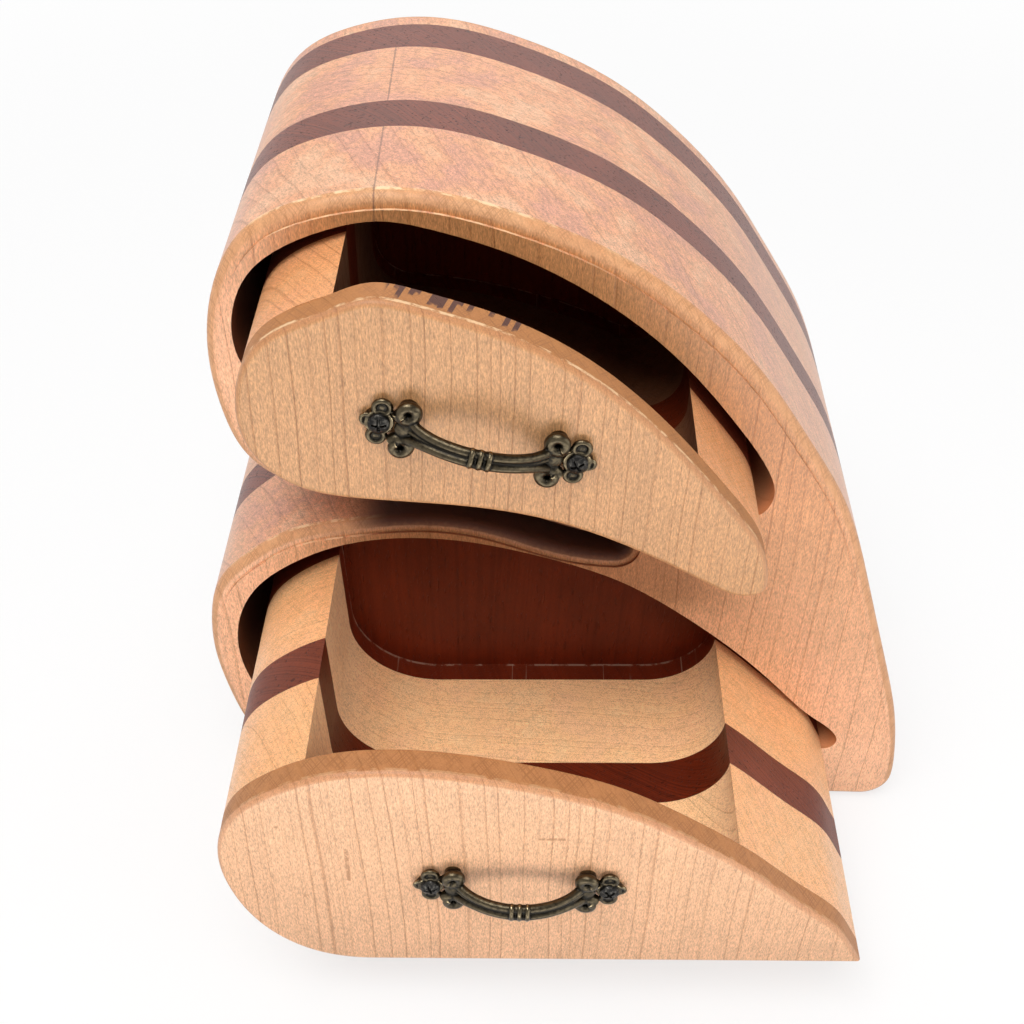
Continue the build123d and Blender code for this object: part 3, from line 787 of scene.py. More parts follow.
strip = dark_board("dark_body_strip", -40.0, STRIP_PITCH, 0.7, 0.28, 0.85, PLAIN)[0]
for node in ("body_front_stripe", "body_rear_stripe"):
    finishes[node] = strip
for side in ("upper", "lower"):
    finishes[side + "_drawer_core_stripe"] = drawer_strip(side)
    lining = drawer_lining(side)
    for node in ("_drawer_core_rear", "_drawer_back"):
        finishes[side + node] = lining
print("dark boards", [node for node in finishes if finishes[node].name.startswith("dark")])

# %% [markdown]
# ## The drawers' maple
# A drawer front is a thin slice of maple with upright growth lines. Its sawn edge is brown and keeps the
# crossing scratches of the saw, and a painted highlight runs where the small round-over of the face begins.
# The upper front is painted darker and warmer than the lower one, for the less light that reaches it. The
# upper one still has dark smears where the strip behind it was rasped off, and the lower one a few small
# stains. The walls behind are end grain on top, with slanting lines. The lower drawer's walls are painted
# lighter than the upper drawer's, the upper pocket is painted dark for its shade, and the lower one is
# painted paler than the walls around it for the light that falls into it.

# %% Smears and stains
SMEAR_COLOUR = (0.05, 0.02, 0.026, 1.0)
SMEAR_X, STROKE_MM, STROKE_SLANT = (-36.0, -13.0), 0.9, 0.25
STAINS = (
    (-7.4, -2.4, 64.3, 64.8),
    (-46.4, -45.9, 48.0, 59.0),
    (-55.9, -55.0, 41.4, 42.0),
    (-59.7, -59.2, 66.0, 66.4),
)


def smears(tree, tint, whole, normal, y_back):
    """Short dark strokes that start at the back of the top edge."""
    place = parts_of(tree, whole)
    from_back = calc(tree, "SUBTRACT", y_back, place["Y"])
    stroke = tree.nodes.new("ShaderNodeTexWhiteNoise")
    stroke.noise_dimensions = "1D"
    slanting = scaled(tree, from_back, STROKE_SLANT, place["X"])
    feed(tree, stroke.inputs["W"], calc(tree, "FLOOR", calc(tree, "DIVIDE", slanting, STROKE_MM)))
    length = scaled(tree, stroke.outputs["Value"], 7.0, -3.0)
    length = scaled(tree, noise(tree, whole, 0.9, 3.0), 3.0, length)
    tick = fade(tree, calc(tree, "SUBTRACT", length, from_back), 0.6, 1.8)
    smear = times(tree, within(tree, place["X"], *SMEAR_X, 1.0), tick, fade(tree, normal["Z"], 0.5, 0.8))
    return blend(tree, times(tree, smear, 0.85), tint, SMEAR_COLOUR)


def small_stains(tree, tint, whole):
    """A few small dark marks on the face, each between two limits across and two up."""
    place = parts_of(tree, whole)
    patchy = fade(tree, noise(tree, whole, 0.9, 2.0), 0.3, 0.5)
    for left, right, low, high in STAINS:
        across, up_face = within(tree, place["X"], left, right, 0.3), within(tree, place["Z"], low, high, 0.3)
        tint = blend(tree, times(tree, across, up_face, patchy, 0.7), tint, MAPLE_DEEP)
    return tint


print("smears", SMEAR_X[1] - SMEAR_X[0], "mm wide, and", len(STAINS), "stains")

# %% Drawer fronts
FRONT_TURN, FRONT_PITCH = -26.0, 2.1
# Painted light and shade: the upper front is darker and warmer than the lower one, for the less light that
# reaches it.
UPPER_FRONT_SHADE_TONE = (0.71, 0.65, 0.53, 1.0)
LOWER_TONE = (0.92, 0.91, 0.94, 1.0)
SAWN_WOOD = (0.44, 0.18, 0.058, 1.0)
ROUND_OVER, ROUND_MM = (0.5, 0.22, 0.1, 1.0), 1.2


def drawer_front(side, tone, highlight_strength, smeared):
    """Maple of a drawer front: a clean face, a scratched, brown edge and a painted highlight where the
    round-over begins.
    """
    material, tree, shader = start_material("maple_" + side + "_front")
    tint, height = maple(tree, math.radians(FRONT_TURN), FRONT_PITCH, 0.52, 0.5, tone)
    whole = place_mm(tree)
    normal = parts_of(tree, facing(tree))
    y_face, y_back = [corner.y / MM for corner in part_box(side + "_drawer_front")]
    flat = calc(tree, "ABSOLUTE", normal["Y"])
    turned_out = fade(tree, flat, 0.05, 0.3)
    edge = unless(tree, turned_out)
    rounded = calc(tree, "SUBTRACT", turned_out, fade(tree, flat, 0.9, 0.99))
    tint = blend(tree, times(tree, edge, 0.8), tint, SAWN_WOOD)
    marks = use(tree, marks_group, Place=whole, Pitch=0.42)["Mask"]
    tint = blend(tree, times(tree, marks, edge, 0.7), tint, MAPLE_DEEP)
    tint = blend(tree, times(tree, rounded, 0.45), tint, ROUND_OVER)
    behind = calc(tree, "SUBTRACT", parts_of(tree, whole)["Y"], y_face)
    behind = scaled(tree, noise(tree, whole, 1.3), 0.4, behind)
    # Painted highlight: a pale broken line where the round-over begins, where it faces up.
    arris = times(tree, within(tree, behind, ROUND_MM + 0.1, ROUND_MM + 0.6, 0.2),
                  fade(tree, normal["Z"], 0.3, 0.7), use(tree, dashes_group, Place=whole)["Mask"])
    tint = blend(tree, times(tree, arris, highlight_strength), tint, MAPLE_PALE)
    tint = smears(tree, tint, whole, normal, y_back) if smeared else small_stains(tree, tint, whole)
    rough = scaled(tree, edge, 0.15, 0.46)
    satin(tree, shader, tint, rough, height, scaled(tree, edge, -0.12, 0.15))
    return material


finishes["upper_drawer_front"] = drawer_front("upper", UPPER_FRONT_SHADE_TONE, 0.65, True)
finishes["lower_drawer_front"] = drawer_front("lower", LOWER_TONE, 0.2, False)
print("drawer fronts", FRONT_PITCH, "mm from line to line")

# %% Drawer walls
WALL_PITCH = 1.7
WALL_GRAIN = {"front": (-27.0, 0.4), "middle": (-84.0, 0.2)}
# Painted light and shade: the lower drawer's walls are lighter, the upper pocket is dark for its shade, and
# the lower pocket is paler for the light that falls into it.
OUTER_LIGHT_TONES = {"upper": (1.0, 0.9, 0.8, 1.0), "lower": (1.18, 1.2, 1.14, 1.0)}
POCKET_LIGHT_AND_SHADE = {"upper": (0.18, 0.13, 0.11, 1.0), "lower": (1.26, 1.56, 1.72, 1.0)}


def drawer_wall(side, layer):
    """Maple of a drawer's walls: painted lighter outside in the lower drawer, and inside the pocket painted
    dark in the upper drawer and paler in the lower one.
    """
    material, tree, shader = start_material("maple_" + side + "_wall_" + layer)
    turn, contrast = WALL_GRAIN[layer]
    tint, height = maple(tree, math.radians(turn), WALL_PITCH, contrast, 0.35, PLAIN)
    marks = use(tree, marks_group, Place=place_mm(tree), Pitch=0.5)["Mask"]
    tint = blend(tree, times(tree, marks, 0.12), tint, MAPLE_DEEP)
    tone = blend(tree, in_pocket(tree, side), OUTER_LIGHT_TONES[side], POCKET_LIGHT_AND_SHADE[side])
    tint = blend(tree, 1.0, tint, tone, "MULTIPLY")
    rough = scaled(tree, marks, 0.1, 0.44)
    satin(tree, shader, tint, rough, height, scaled(tree, marks, -0.15, 0.4))
    return material


for side in OUTER_LIGHT_TONES:
    for layer in WALL_GRAIN:
        finishes[side + "_drawer_core_" + layer] = drawer_wall(side, layer)
print("finishes for", len(finishes), "solids")

# %% [markdown]
# ## Metal of the screws
# The screws are darker than the pulls, a blackened finish that is rubbed to grey in spots. They are
# too small for more than that, so one noise sets the colour and a little change of gloss.

# %% Screw metal
SCREW_DARK = (0.022, 0.021, 0.02, 1.0)
SCREW_RUBBED = (0.1, 0.092, 0.08, 1.0)


def screw_metal():
    """Blackened metal with rubbed spots."""
    material, tree, shader = start_material("blackened_screw")
    place = place_mm(tree)
    rubbed = fade(tree, noise(tree, place, 1.6, 3.0, 0.6), 0.45, 0.75)
    feed(tree, shader["Base Color"], blend(tree, rubbed, SCREW_DARK, SCREW_RUBBED))
    feed(tree, shader["Roughness"], scaled(tree, rubbed, -0.15, 0.5))
    feed(tree, shader["Normal"], relief(tree, noise(tree, place, 3.0), 0.02))
    shader["Metallic"].default_value = 1.0
    return material


blackened = screw_metal()
print("screws are", blackened.name)

# %% [markdown]
# ## The cast pulls
# Each pull is one casting in an old style: a bow of two ribs with three rings round its middle, two
# ram's-horn scrolls at each end, and a rosette of dished petals round each screw. It could be carved
# from a block, but a pattern maker builds such a shape up from rods, coils and beads and lets the
# casting melt them together. The same is done here, in millimetres, in the pull's own frame: X along
# the pull, Y up the face and Z out of the wood. What follows a path or repeats is made by geometry
# nodes: the tapering coil, the ribbed bow with its rings, and the petals.


# %% Geometry node helpers
def add(tree, kind, **values):
    """Add a geometry node, with its inputs set by name."""
    made = tree.nodes.new(kind)
    for label, value in values.items():
        feed(tree, made.inputs[label.replace("_", " ")], value)
    return made


def start_tree(name, inputs):
    """A geometry tree with named inputs: the tree and its input values."""
    tree = bpy.data.node_groups.new(name, "GeometryNodeTree")
    tree.interface.new_socket(name="Geometry", in_out="OUTPUT", socket_type="NodeSocketGeometry")
    tree.interface.new_socket(name="Metal", in_out="INPUT", socket_type="NodeSocketMaterial")
    for label, kind in inputs.items():
        tree.interface.new_socket(name=label, in_out="INPUT", socket_type=kind)
    return tree, tree.nodes.new("NodeGroupInput").outputs


def close_tree(tree, given, *pieces):
    """Join the pieces, make the instances real, set the metal and end the tree."""
    joined = tree.nodes.new("GeometryNodeJoinGeometry")
    for piece in pieces:
        tree.links.new(piece, joined.inputs[0])
    real = add(tree, "GeometryNodeRealizeInstances", Geometry=joined.outputs[0])
    coloured = add(tree, "GeometryNodeSetMaterial", Geometry=real.outputs[0], Material=given["Metal"])
    feed(tree, tree.nodes.new("NodeGroupOutput").inputs[0], coloured.outputs[0])


def grow(tree, **values):
    """Run a geometry tree with its inputs set by name, and give the plain mesh."""
    holder = bpy.data.objects.new("holder", bpy.data.meshes.new("holder"))
    scene.collection.objects.link(holder)
    modifier = holder.modifiers.new("grow", "NODES")
    modifier.node_group = tree
    for item in tree.interface.items_tree:
        if item.in_out == "INPUT":
            modifier[item.identifier] = values[item.name.replace(" ", "_")]
    graph = bpy.context.evaluated_depsgraph_get()
    made = bpy.data.meshes.new_from_object(holder.evaluated_get(graph))
    bpy.data.objects.remove(holder)
    return made


# %% [markdown]
# ### Bronze
# The bronze is dark in the hollows and rubbed to pale brass on the high places, as an old finish
# should be. How high a place stands is worked out later from the shape and stored with the mesh as
# "worn", so the material only reads it and adds speckle.

# %% Bronze
BRONZE_DARK = (0.018, 0.016, 0.013, 1.0)
BRONZE_MIDDLE = (0.095, 0.075, 0.046, 1.0)
BRONZE_WORN = (0.62, 0.49, 0.29, 1.0)
bronze, tree, shader = start_material("aged_bronze")
worn = tree.nodes.new("ShaderNodeAttribute")
worn.attribute_name = "worn"
place = place_mm(tree)
mottle = noise(tree, place, 1.4, 3.0, 0.6)
rubbed = scaled(tree, calc(tree, "SUBTRACT", mottle, 0.5), 0.5, worn.outputs["Fac"])
tint = blend(tree, fade(tree, rubbed, 0.25, 0.55), BRONZE_DARK, BRONZE_MIDDLE)
tint = blend(tree, fade(tree, rubbed, 0.56, 0.95), tint, BRONZE_WORN)
feed(tree, shader["Base Color"], tint)
feed(tree, shader["Roughness"], scaled(tree, fade(tree, rubbed, 0.3, 0.9), -0.14, 0.36))
feed(tree, shader["Normal"], relief(tree, noise(tree, place, 2.5, 2.0), 0.03))
shader["Metallic"].default_value = 1.0
print("bronze", BRONZE_MIDDLE[:3])

# %% [markdown]
# ### Coil, bow and petals
# The coil is a spiral swept by a rod that thins towards the middle, where it ends in a bead. The bow
# is one arc copied sideways into two ribs that spread towards the scrolls, with a thinner core between
# them, and its rings are instances on a short row of points. The petals are instances of one dished
# bead on a half circle round the screw.

# %% The coil
coil_tree, given = start_tree("scroll_coil", {
    "Turns": NUMBER, "Inner": NUMBER, "Outer": NUMBER, "Rod": NUMBER, "Bead": NUMBER, "Rise": NUMBER})
spiral = add(coil_tree, "GeometryNodeCurveSpiral", Resolution=60, Rotations=given["Turns"],
             Start_Radius=given["Inner"], End_Radius=given["Outer"], Height=given["Rise"], Reverse=True)
along = coil_tree.nodes.new("GeometryNodeSplineParameter").outputs["Factor"]
taper = times(coil_tree, scaled(coil_tree, along, 0.3, 0.7), given["Rod"])
rod = add(coil_tree, "GeometryNodeCurvePrimitiveCircle", Resolution=20, Radius=1.0)
coil = add(coil_tree, "GeometryNodeCurveToMesh", Curve=spiral.outputs[0], Profile_Curve=rod.outputs[0],
           Scale=taper, Fill_Caps=True)
bead = add(coil_tree, "GeometryNodeMeshUVSphere", Segments=24, Rings=14, Radius=given["Bead"])
inner_end = coil_tree.nodes.new("ShaderNodeCombineXYZ")
feed(coil_tree, inner_end.inputs["X"], given["Inner"])
ended = add(coil_tree, "GeometryNodeTransform", Geometry=bead.outputs[0], Translation=inner_end.outputs[0])
close_tree(coil_tree, given, coil.outputs[0], ended.outputs[0])
print(coil_tree.name, "has", len(coil_tree.nodes), "nodes")

# %% The ribs of the bow
bow_tree, given = start_tree("ribbed_bow", {
    "Foot": VECTOR, "Crown": VECTOR, "Across": VECTOR, "Rod": NUMBER, "Spread": NUMBER, "Flare": NUMBER,
    "Rings": COUNT, "Ring pitch": NUMBER, "Ring wire": NUMBER, "Ring size": VECTOR, "Tilt": NUMBER})
arc = bow_tree.nodes.new("GeometryNodeCurveArc")
arc.mode = "POINTS"
arc.inputs["Resolution"].default_value = 72
feed(bow_tree, arc.inputs["Start"], stretched(bow_tree, given["Foot"], -1.0, 1.0, 1.0))
feed(bow_tree, arc.inputs["Middle"], given["Crown"])
feed(bow_tree, arc.inputs["End"], given["Foot"])
along = bow_tree.nodes.new("GeometryNodeSplineParameter").outputs["Factor"]
from_middle = calc(bow_tree, "ABSOLUTE", scaled(bow_tree, along, 2.0, -1.0))
flare = scaled(bow_tree, calc(bow_tree, "POWER", from_middle, 5.0), given["Flare"], 1.0)
rod = add(bow_tree, "GeometryNodeCurvePrimitiveCircle", Resolution=20, Radius=1.0)
ribs = []
for side, share in ((-1.0, 1.0), (0.0, 0.5), (1.0, 1.0)):
    shift = bow_tree.nodes.new("ShaderNodeVectorMath")
    shift.operation = "SCALE"
    feed(bow_tree, shift.inputs[0], given["Across"])
    feed(bow_tree, shift.inputs["Scale"], times(bow_tree, flare, given["Spread"], side))
    moved = add(bow_tree, "GeometryNodeSetPosition", Geometry=arc.outputs[0], Offset=shift.outputs[0])
    thick = times(bow_tree, given["Rod"], share)
    rib = add(bow_tree, "GeometryNodeCurveToMesh", Curve=moved.outputs[0], Profile_Curve=rod.outputs[0],
              Scale=thick, Fill_Caps=True)
    ribs.append(rib.outputs[0])
print("bow of", len(ribs), "rods")

# %% The rings of the bow
hoop = add(bow_tree, "GeometryNodeCurvePrimitiveCircle", Resolution=40, Radius=1.0)
stood = add(bow_tree, "GeometryNodeTransform", Geometry=hoop.outputs[0], Rotation=(0.0, math.pi / 2, 0.0))
oval = add(bow_tree, "GeometryNodeTransform", Geometry=stood.outputs[0], Scale=given["Ring size"])
lean = bow_tree.nodes.new("ShaderNodeCombineXYZ")
feed(bow_tree, lean.inputs["X"], given["Tilt"])
leaning = add(bow_tree, "GeometryNodeTransform", Geometry=oval.outputs[0], Rotation=lean.outputs[0])
ring_rod = add(bow_tree, "GeometryNodeCurveToMesh", Curve=leaning.outputs[0], Profile_Curve=rod.outputs[0],
               Scale=given["Ring wire"])
row = add(bow_tree, "GeometryNodeMeshLine", Count=given["Rings"])
pitch = bow_tree.nodes.new("ShaderNodeCombineXYZ")
feed(bow_tree, pitch.inputs["X"], given["Ring pitch"])
feed(bow_tree, row.inputs["Offset"], pitch.outputs[0])
back = times(bow_tree, calc(bow_tree, "SUBTRACT", given["Rings"], 1.0), -0.5)
first = bow_tree.nodes.new("ShaderNodeVectorMath")
first.operation = "MULTIPLY_ADD"
feed(bow_tree, first.inputs[0], pitch.outputs[0])
feed(bow_tree, first.inputs[1], back)
feed(bow_tree, first.inputs[2], given["Crown"])
feed(bow_tree, row.inputs["Start Location"], first.outputs[0])
rings = add(bow_tree, "GeometryNodeInstanceOnPoints", Points=row.outputs[0], Instance=ring_rod.outputs[0])
close_tree(bow_tree, given, rings.outputs[0], *ribs)
print(bow_tree.name, "has", len(bow_tree.nodes), "nodes")

# %% The petals
DISH_SUNK, DISH_FLAT = 0.6, 0.6
petal_tree, given = start_tree("petals", {
    "Petals": COUNT, "Reach": NUMBER, "Tip": NUMBER, "Tip scale": NUMBER, "Size": NUMBER, "Wire": NUMBER})
half = add(petal_tree, "GeometryNodeCurveArc", Resolution=32, Radius=given["Reach"],
           Start_Angle=-math.pi / 2, Sweep_Angle=math.pi)
squeeze = petal_tree.nodes.new("ShaderNodeCombineXYZ")
feed(petal_tree, squeeze.inputs["X"], calc(petal_tree, "DIVIDE", given["Tip"], given["Reach"]))
squeeze.inputs["Y"].default_value = 1.0
squeeze.inputs["Z"].default_value = 1.0
drawn = add(petal_tree, "GeometryNodeTransform", Geometry=half.outputs[0], Scale=squeeze.outputs[0])
spots = add(petal_tree, "GeometryNodeCurveToPoints", Curve=drawn.outputs[0], Count=given["Petals"])
rim_path = add(petal_tree, "GeometryNodeCurvePrimitiveCircle", Resolution=28, Radius=given["Size"])
rod = add(petal_tree, "GeometryNodeCurvePrimitiveCircle", Resolution=14, Radius=given["Wire"])
rim = add(petal_tree, "GeometryNodeCurveToMesh", Curve=rim_path.outputs[0], Profile_Curve=rod.outputs[0])
dish = add(petal_tree, "GeometryNodeMeshUVSphere", Segments=20, Rings=12, Radius=given["Size"])
sunk = add(petal_tree, "GeometryNodeTransform", Geometry=dish.outputs[0],
           Translation=(0.0, 0.0, -DISH_SUNK), Scale=(1.0, 1.0, DISH_FLAT))
petal = petal_tree.nodes.new("GeometryNodeJoinGeometry")
petal_tree.links.new(rim.outputs[0], petal.inputs[0])
petal_tree.links.new(sunk.outputs[0], petal.inputs[0])
number = petal_tree.nodes.new("GeometryNodeInputIndex").outputs[0]
tip_number = times(petal_tree, calc(petal_tree, "SUBTRACT", given["Petals"], 1.0), 0.5)
share = calc(petal_tree, "DIVIDE", number, tip_number)
from_tip = calc(petal_tree, "ABSOLUTE", calc(petal_tree, "SUBTRACT", share, 1.0))
swell = unless(petal_tree, given["Tip scale"])
size = scaled(petal_tree, from_tip, swell, given["Tip scale"])
leaves = add(petal_tree, "GeometryNodeInstanceOnPoints", Points=spots.outputs[0],
             Instance=petal.outputs[0], Scale=size)
close_tree(petal_tree, given, leaves.outputs[0])
print(petal_tree.name, "has", len(petal_tree.nodes), "nodes")

# %% [markdown]
# ### One casting
# The sizes of the pull are those of the solid pull: the screws set its length, and the bow stands out
# from the wood by the same amount. The right end is built, then mirrored. A voxel remesh melts the
# pieces into one skin, a little smoothing rounds the joins as casting does, and the triangles are
# thinned out. Then each point's height over its neighbours tells where fingers rub the finish off.


# %% Sizes of the pull
def coordinates(mesh, kind):
    """The points of a mesh, or the normals at its points, one row for each."""
    flat = np.empty(len(mesh.vertices) * 3)
    mesh.vertices.foreach_get(kind, flat)
    return flat.reshape(-1, 3)


def screw_points(side):
    """The middles of the two screws of a pull, left and right."""
    points = coordinates(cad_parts[side + "_handle_screws"].data, "co")
    middle = (points[:, 0].min() + points[:, 0].max()) / 2
    return points[points[:, 0] < middle].mean(axis=0), points[points[:, 0] > middle].mean(axis=0)


left_screw, right_screw = screw_points("lower")
SCREW_X = float(np.linalg.norm(right_screw - left_screw)) / 2 / MM
PULL_HALF = (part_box("lower_handle")[1].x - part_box("lower_handle")[0].x) / 2 / MM
COIL_X, COIL_Y, COIL_Z = SCREW_X - 4.6, 3.9, 2.3
COIL_TURNS, COIL_INNER, COIL_OUTER = 1.1, 1.2, 1.75
COIL_ROD, COIL_BEAD, COIL_RISE = 1.3, 0.6, -0.8
FOOT, CROWN = Vector((SCREW_X - 5.0, 0.0, 1.5)), Vector((0.0, 1.4, 7.6))
BOW_ROD, BOW_SPREAD, BOW_FLARE = 0.9, 0.95, 1.2
RING_COUNT, RING_PITCH, RING_WIRE, RING_SUNK = 3, 1.6, 0.5, 0.3
out_of_wood = Vector((0.0, CROWN.y - FOOT.y, CROWN.z - FOOT.z)).normalized()
bow_across = Vector((0.0, out_of_wood.z, -out_of_wood.y))
PETALS, PETAL_REACH, PETAL_SIZE, PETAL_WIRE, TIP_SCALE = 3, 3.2, 1.45, 0.55, 0.75
PETAL_Z = 0.9
PLATE_ROUND, PLATE_THICK, PLATE_SLOPE = 2.9, 1.3, 0.3
SADDLE = (2.2, 2.4, 1.1)
print("screws", round(2 * SCREW_X, 1), "mm apart on a pull of", round(2 * PULL_HALF, 1), "mm")

# %% Grow the coil, the bow and the petals
coil_mesh = grow(coil_tree, Metal=bronze, Turns=COIL_TURNS, Inner=COIL_INNER, Outer=COIL_OUTER, Rod=COIL_ROD,
                 Bead=COIL_BEAD, Rise=COIL_RISE)
bow_mesh = grow(
    bow_tree, Metal=bronze, Foot=FOOT, Crown=CROWN, Across=bow_across, Rod=BOW_ROD, Spread=BOW_SPREAD,
    Flare=BOW_FLARE, Rings=RING_COUNT, Ring_pitch=RING_PITCH, Ring_wire=RING_WIRE,
    Ring_size=(1.0, BOW_SPREAD + BOW_ROD - RING_SUNK, BOW_ROD),
    Tilt=-math.atan2(out_of_wood.y, out_of_wood.z))
tip_reach = PULL_HALF - SCREW_X - TIP_SCALE * (PETAL_SIZE + PETAL_WIRE)
petal_mesh = grow(petal_tree, Metal=bronze, Petals=PETALS, Reach=PETAL_REACH, Tip=tip_reach,
                  Tip_scale=TIP_SCALE, Size=PETAL_SIZE, Wire=PETAL_WIRE)
print("grown", [len(mesh.polygons) for mesh in (coil_mesh, bow_mesh, petal_mesh)], "faces")

# %% Cast the pull
cast = bmesh.new()


def pour(mesh, matrix):
    """Add a copy of a mesh to the casting."""
    copy = mesh.copy()
    copy.transform(matrix)
    cast.from_mesh(copy)
    bpy.data.meshes.remove(copy)


MIRROR_X = Matrix.Scale(-1.0, 4, Vector((1.0, 0.0, 0.0)))
MIRROR_Y = Matrix.Scale(-1.0, 4, Vector((0.0, 1.0, 0.0)))
outer_down = Matrix.Rotation(2.0 * math.pi * COIL_TURNS - math.pi / 2, 4, "Z")
pour(bow_mesh, Matrix.Identity(4))
for end in (Matrix.Identity(4), MIRROR_X):
    for side in (Matrix.Identity(4), MIRROR_Y):
        pour(coil_mesh, end @ side @ Matrix.Translation((COIL_X, COIL_Y, COIL_Z)) @ outer_down)
        back = end @ side @ Matrix.Translation((COIL_X, COIL_Y, PLATE_THICK / 2))
        bmesh.ops.create_cone(cast, cap_ends=True, segments=32, radius1=COIL_OUTER, radius2=COIL_OUTER,
                              depth=PLATE_THICK, matrix=back)
    pour(petal_mesh, end @ Matrix.Translation((SCREW_X, 0.0, PETAL_Z)))
    plate = end @ Matrix.Translation((SCREW_X, 0.0, PLATE_THICK / 2))
    bmesh.ops.create_cone(cast, cap_ends=True, segments=40, radius1=PLATE_ROUND,
                          radius2=PLATE_ROUND - PLATE_SLOPE, depth=PLATE_THICK, matrix=plate)
    saddle = end @ Matrix.Translation(FOOT) @ Matrix.Diagonal((*SADDLE, 1.0))
    bmesh.ops.create_uvsphere(cast, u_segments=28, v_segments=16, radius=1.0, matrix=saddle)
bmesh.ops.recalc_face_normals(cast, faces=cast.faces)
bmesh.ops.bisect_plane(cast, geom=cast.verts[:] + cast.edges[:] + cast.faces[:], plane_co=(0.0, 0.0, 0.0),
                       plane_no=(0.0, 0.0, 1.0), clear_inner=True)
bmesh.ops.holes_fill(cast, edges=[edge for edge in cast.edges if edge.is_boundary], sides=0)
pattern = bpy.data.meshes.new("pull_pattern")
cast.to_mesh(pattern)
cast.free()
print("pattern", len(pattern.polygons), "faces, screws at", round(SCREW_X, 2), "mm")

# %% Melt, smooth and thin
VOXEL, SMOOTHING, KEEP = 0.13, 3, 0.45
RUB_MIDDLE, RUB_BULGE, RUB_REACH = 0.37, 0.4, 3
melt = bpy.data.objects.new("melt", pattern)
scene.collection.objects.link(melt)
remesh = melt.modifiers.new("melt", "REMESH")
remesh.mode = "VOXEL"
remesh.voxel_size = VOXEL
soft = melt.modifiers.new("soft", "SMOOTH")
soft.factor = 0.5
soft.iterations = SMOOTHING
thin = melt.modifiers.new("thin", "DECIMATE")
thin.ratio = KEEP
graph = bpy.context.evaluated_depsgraph_get()
casting = bpy.data.meshes.new_from_object(melt.evaluated_get(graph))
bpy.data.objects.remove(melt)


def rub(mesh, reach):
    """How far each point stands out from its neighbours, from 0 in hollows to 1 on ridges."""
    count = len(mesh.vertices)
    points, normals = coordinates(mesh, "co"), coordinates(mesh, "normal")
    pairs = np.empty(len(mesh.edges) * 2, dtype=np.int64)
    mesh.edges.foreach_get("vertices", pairs)
    a, b = pairs.reshape(-1, 2).T
    degree = np.bincount(a, minlength=count) + np.bincount(b, minlength=count)
    bulge = np.zeros(count)
    step = points[b] - points[a]
    span = np.maximum(np.einsum("ij,ij->i", step, step), 1e-9)
    np.add.at(bulge, a, -np.einsum("ij,ij->i", normals[a], step) / span)
    np.add.at(bulge, b, np.einsum("ij,ij->i", normals[b], step) / span)
    bulge /= np.maximum(degree, 1)
    for _ in range(reach):
        spread = np.zeros(count)
        np.add.at(spread, a, bulge[b])
        np.add.at(spread, b, bulge[a])
        bulge = 0.5 * bulge + 0.5 * spread / np.maximum(degree, 1)
    return np.clip(RUB_MIDDLE + RUB_BULGE * bulge, 0.0, 1.0)


values = rub(casting, RUB_REACH)
worn_layer = casting.attributes.new("worn", "FLOAT", "POINT")
worn_layer.data.foreach_set("value", values.astype(np.float32))
casting.materials.clear()
casting.materials.append(bronze)
casting.polygons.foreach_set("use_smooth", [True] * len(casting.polygons))
print("casting", len(casting.polygons), "faces, worn", round(float(values.mean()), 2))

# %% [markdown]
# ### Screw heads
# The screws have low domed heads with a pressed cross. A dome could be turned and the cross cut out of
# it, but on so small a head one formula for the height does both: a dome over a disc, less a cross with
# sloping sides. The two heads of a pull stand at different turns, as driven screws do.

# %% Screw heads
HEAD_ROUND, HEAD_FOOT, HEAD_SIDE, HEAD_RISE = 2.0, 1.2, 0.7, 0.7
ARM_LONG, ARM_HALF, ARM_DEEP, ARM_SLOPE = 1.3, 0.22, 0.7, 0.16
HEAD_RINGS, HEAD_SPOKES = 36, 120
HEAD_TURNS = (math.radians(12.0), math.radians(38.0))


def head_points(turn):
    """The points of one head, ring by ring from the foot of its side to the middle."""
    around = np.arange(HEAD_SPOKES) * 2 * math.pi / HEAD_SPOKES
    share = np.linspace(1.0, 0.01, HEAD_RINGS)[:, None]
    x = HEAD_ROUND * share * np.cos(around)
    y = HEAD_ROUND * share * np.sin(around)
    u = np.abs(x * math.cos(turn) + y * math.sin(turn))
    v = np.abs(y * math.cos(turn) - x * math.sin(turn))
    beyond = np.maximum(np.minimum(u, v) - ARM_HALF, np.maximum(u, v) - ARM_LONG)
    pressed = ARM_DEEP * np.clip(-beyond / ARM_SLOPE + 0.5, 0.0, 1.0)
    z = HEAD_FOOT + HEAD_SIDE + HEAD_RISE * (1.0 - share ** 2) - pressed
    rings = np.stack((x, y, z), axis=2)
    foot = rings[:1] * (1.0, 1.0, 0.0)
    return np.concatenate((foot, rings)).reshape(-1, 3)


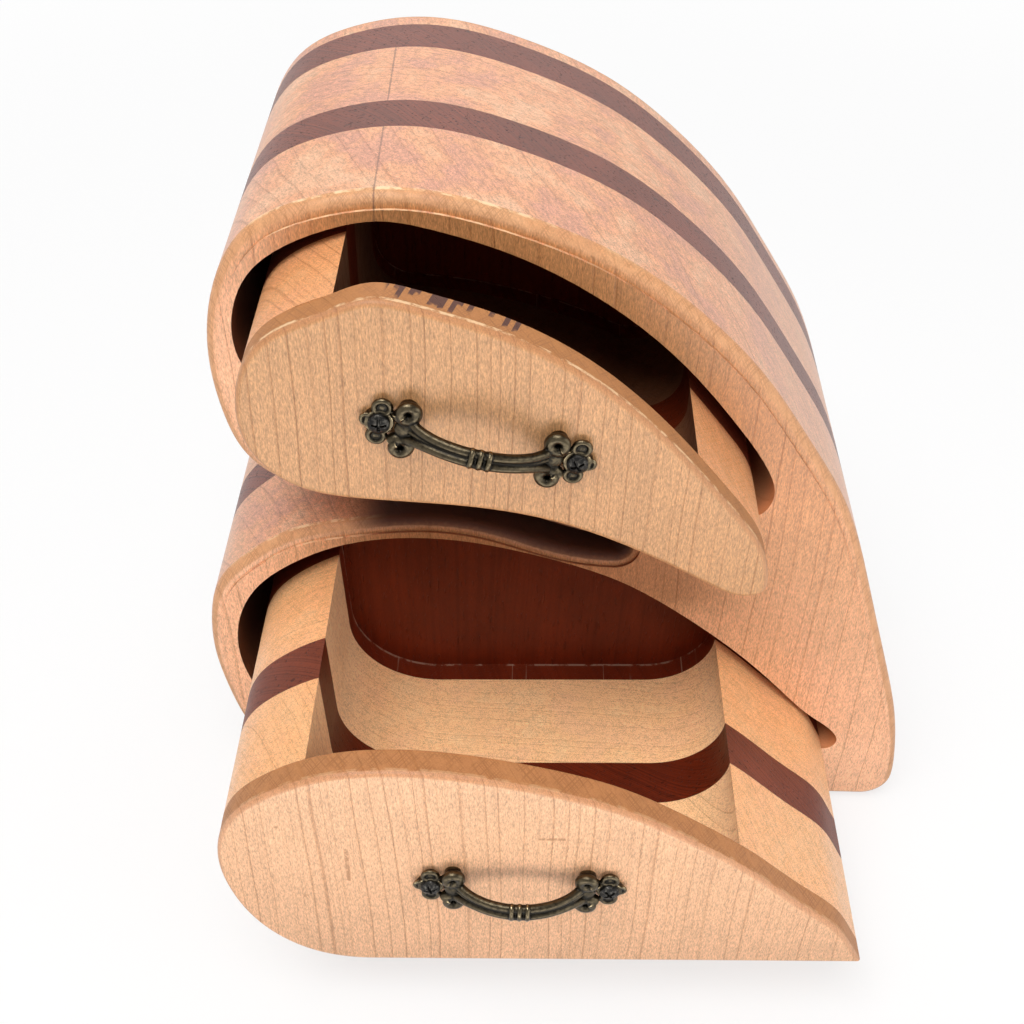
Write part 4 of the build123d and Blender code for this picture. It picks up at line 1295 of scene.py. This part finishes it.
def head_faces(first):
    """Four-sided faces between the rings, and one small face that closes the middle."""
    made = []
    for ring in range(HEAD_RINGS):
        for spoke in range(HEAD_SPOKES):
            here = first + ring * HEAD_SPOKES
            inner = here + HEAD_SPOKES
            beside = (spoke + 1) % HEAD_SPOKES
            made.append((here + spoke, here + beside, inner + beside, inner + spoke))
    made.append([first + HEAD_RINGS * HEAD_SPOKES + spoke for spoke in range(HEAD_SPOKES)])
    return made


points, faces = [], []
for end, turn in zip((-1.0, 1.0), HEAD_TURNS):
    faces += head_faces(len(points) * (HEAD_RINGS + 1) * HEAD_SPOKES)
    points.append(head_points(turn) + (end * SCREW_X, 0.0, 0.0))
heads = bpy.data.meshes.new("screw_heads")
heads.from_pydata(np.concatenate(points).tolist(), [], faces)
heads.materials.append(blackened)
heads.polygons.foreach_set("use_smooth", [True] * len(heads.polygons))
print("screw heads", len(heads.polygons), "faces")

# %% [markdown]
# ### Both pulls in place
# Each drawer has a copy of the casting and of its screw heads, laid along the line of its two screws,
# with its back on the face of the drawer front. They take the place of the plain solid pull and screws
# and ride on the drawer.

# %% Place the pulls
for side in ("upper", "lower"):
    left_screw, right_screw = screw_points(side)
    along = Vector(right_screw - left_screw)
    along.normalize()
    out_y = Vector((0.0, -1.0, 0.0))
    turned = Matrix((along, out_y.cross(along), out_y)).transposed().to_4x4()
    middle = Vector((left_screw + right_screw) / 2)
    middle.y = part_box(side + "_drawer_front")[0].y
    to_front = Matrix.Translation(middle) @ turned @ Matrix.Scale(MM, 4)
    for name, source, node, slot in (("_pull", casting, "_handle", "bronze"),
                                     ("_pull_screws", heads, "_handle_screws", "screw")):
        mesh = source.copy()
        mesh.name = side + name
        mesh.transform(to_front)
        piece = bpy.data.objects.new(side + name, mesh)
        scene.collection.objects.link(piece)
        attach(piece, side + "_drawer")
        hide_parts(side + node)
    print(side, "pull at", [round(value / MM, 1) for value in middle])

# %% [markdown]
# ## Dressing the solids
# The solids keep their shapes. Each gets its own board's material in its one material slot.

# %% Assign the finishes
for node, material in finishes.items():
    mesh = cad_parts[node].data
    mesh.materials.clear()
    mesh.materials.append(material)
print("dressed", len(finishes), "of", len(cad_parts), "solids")
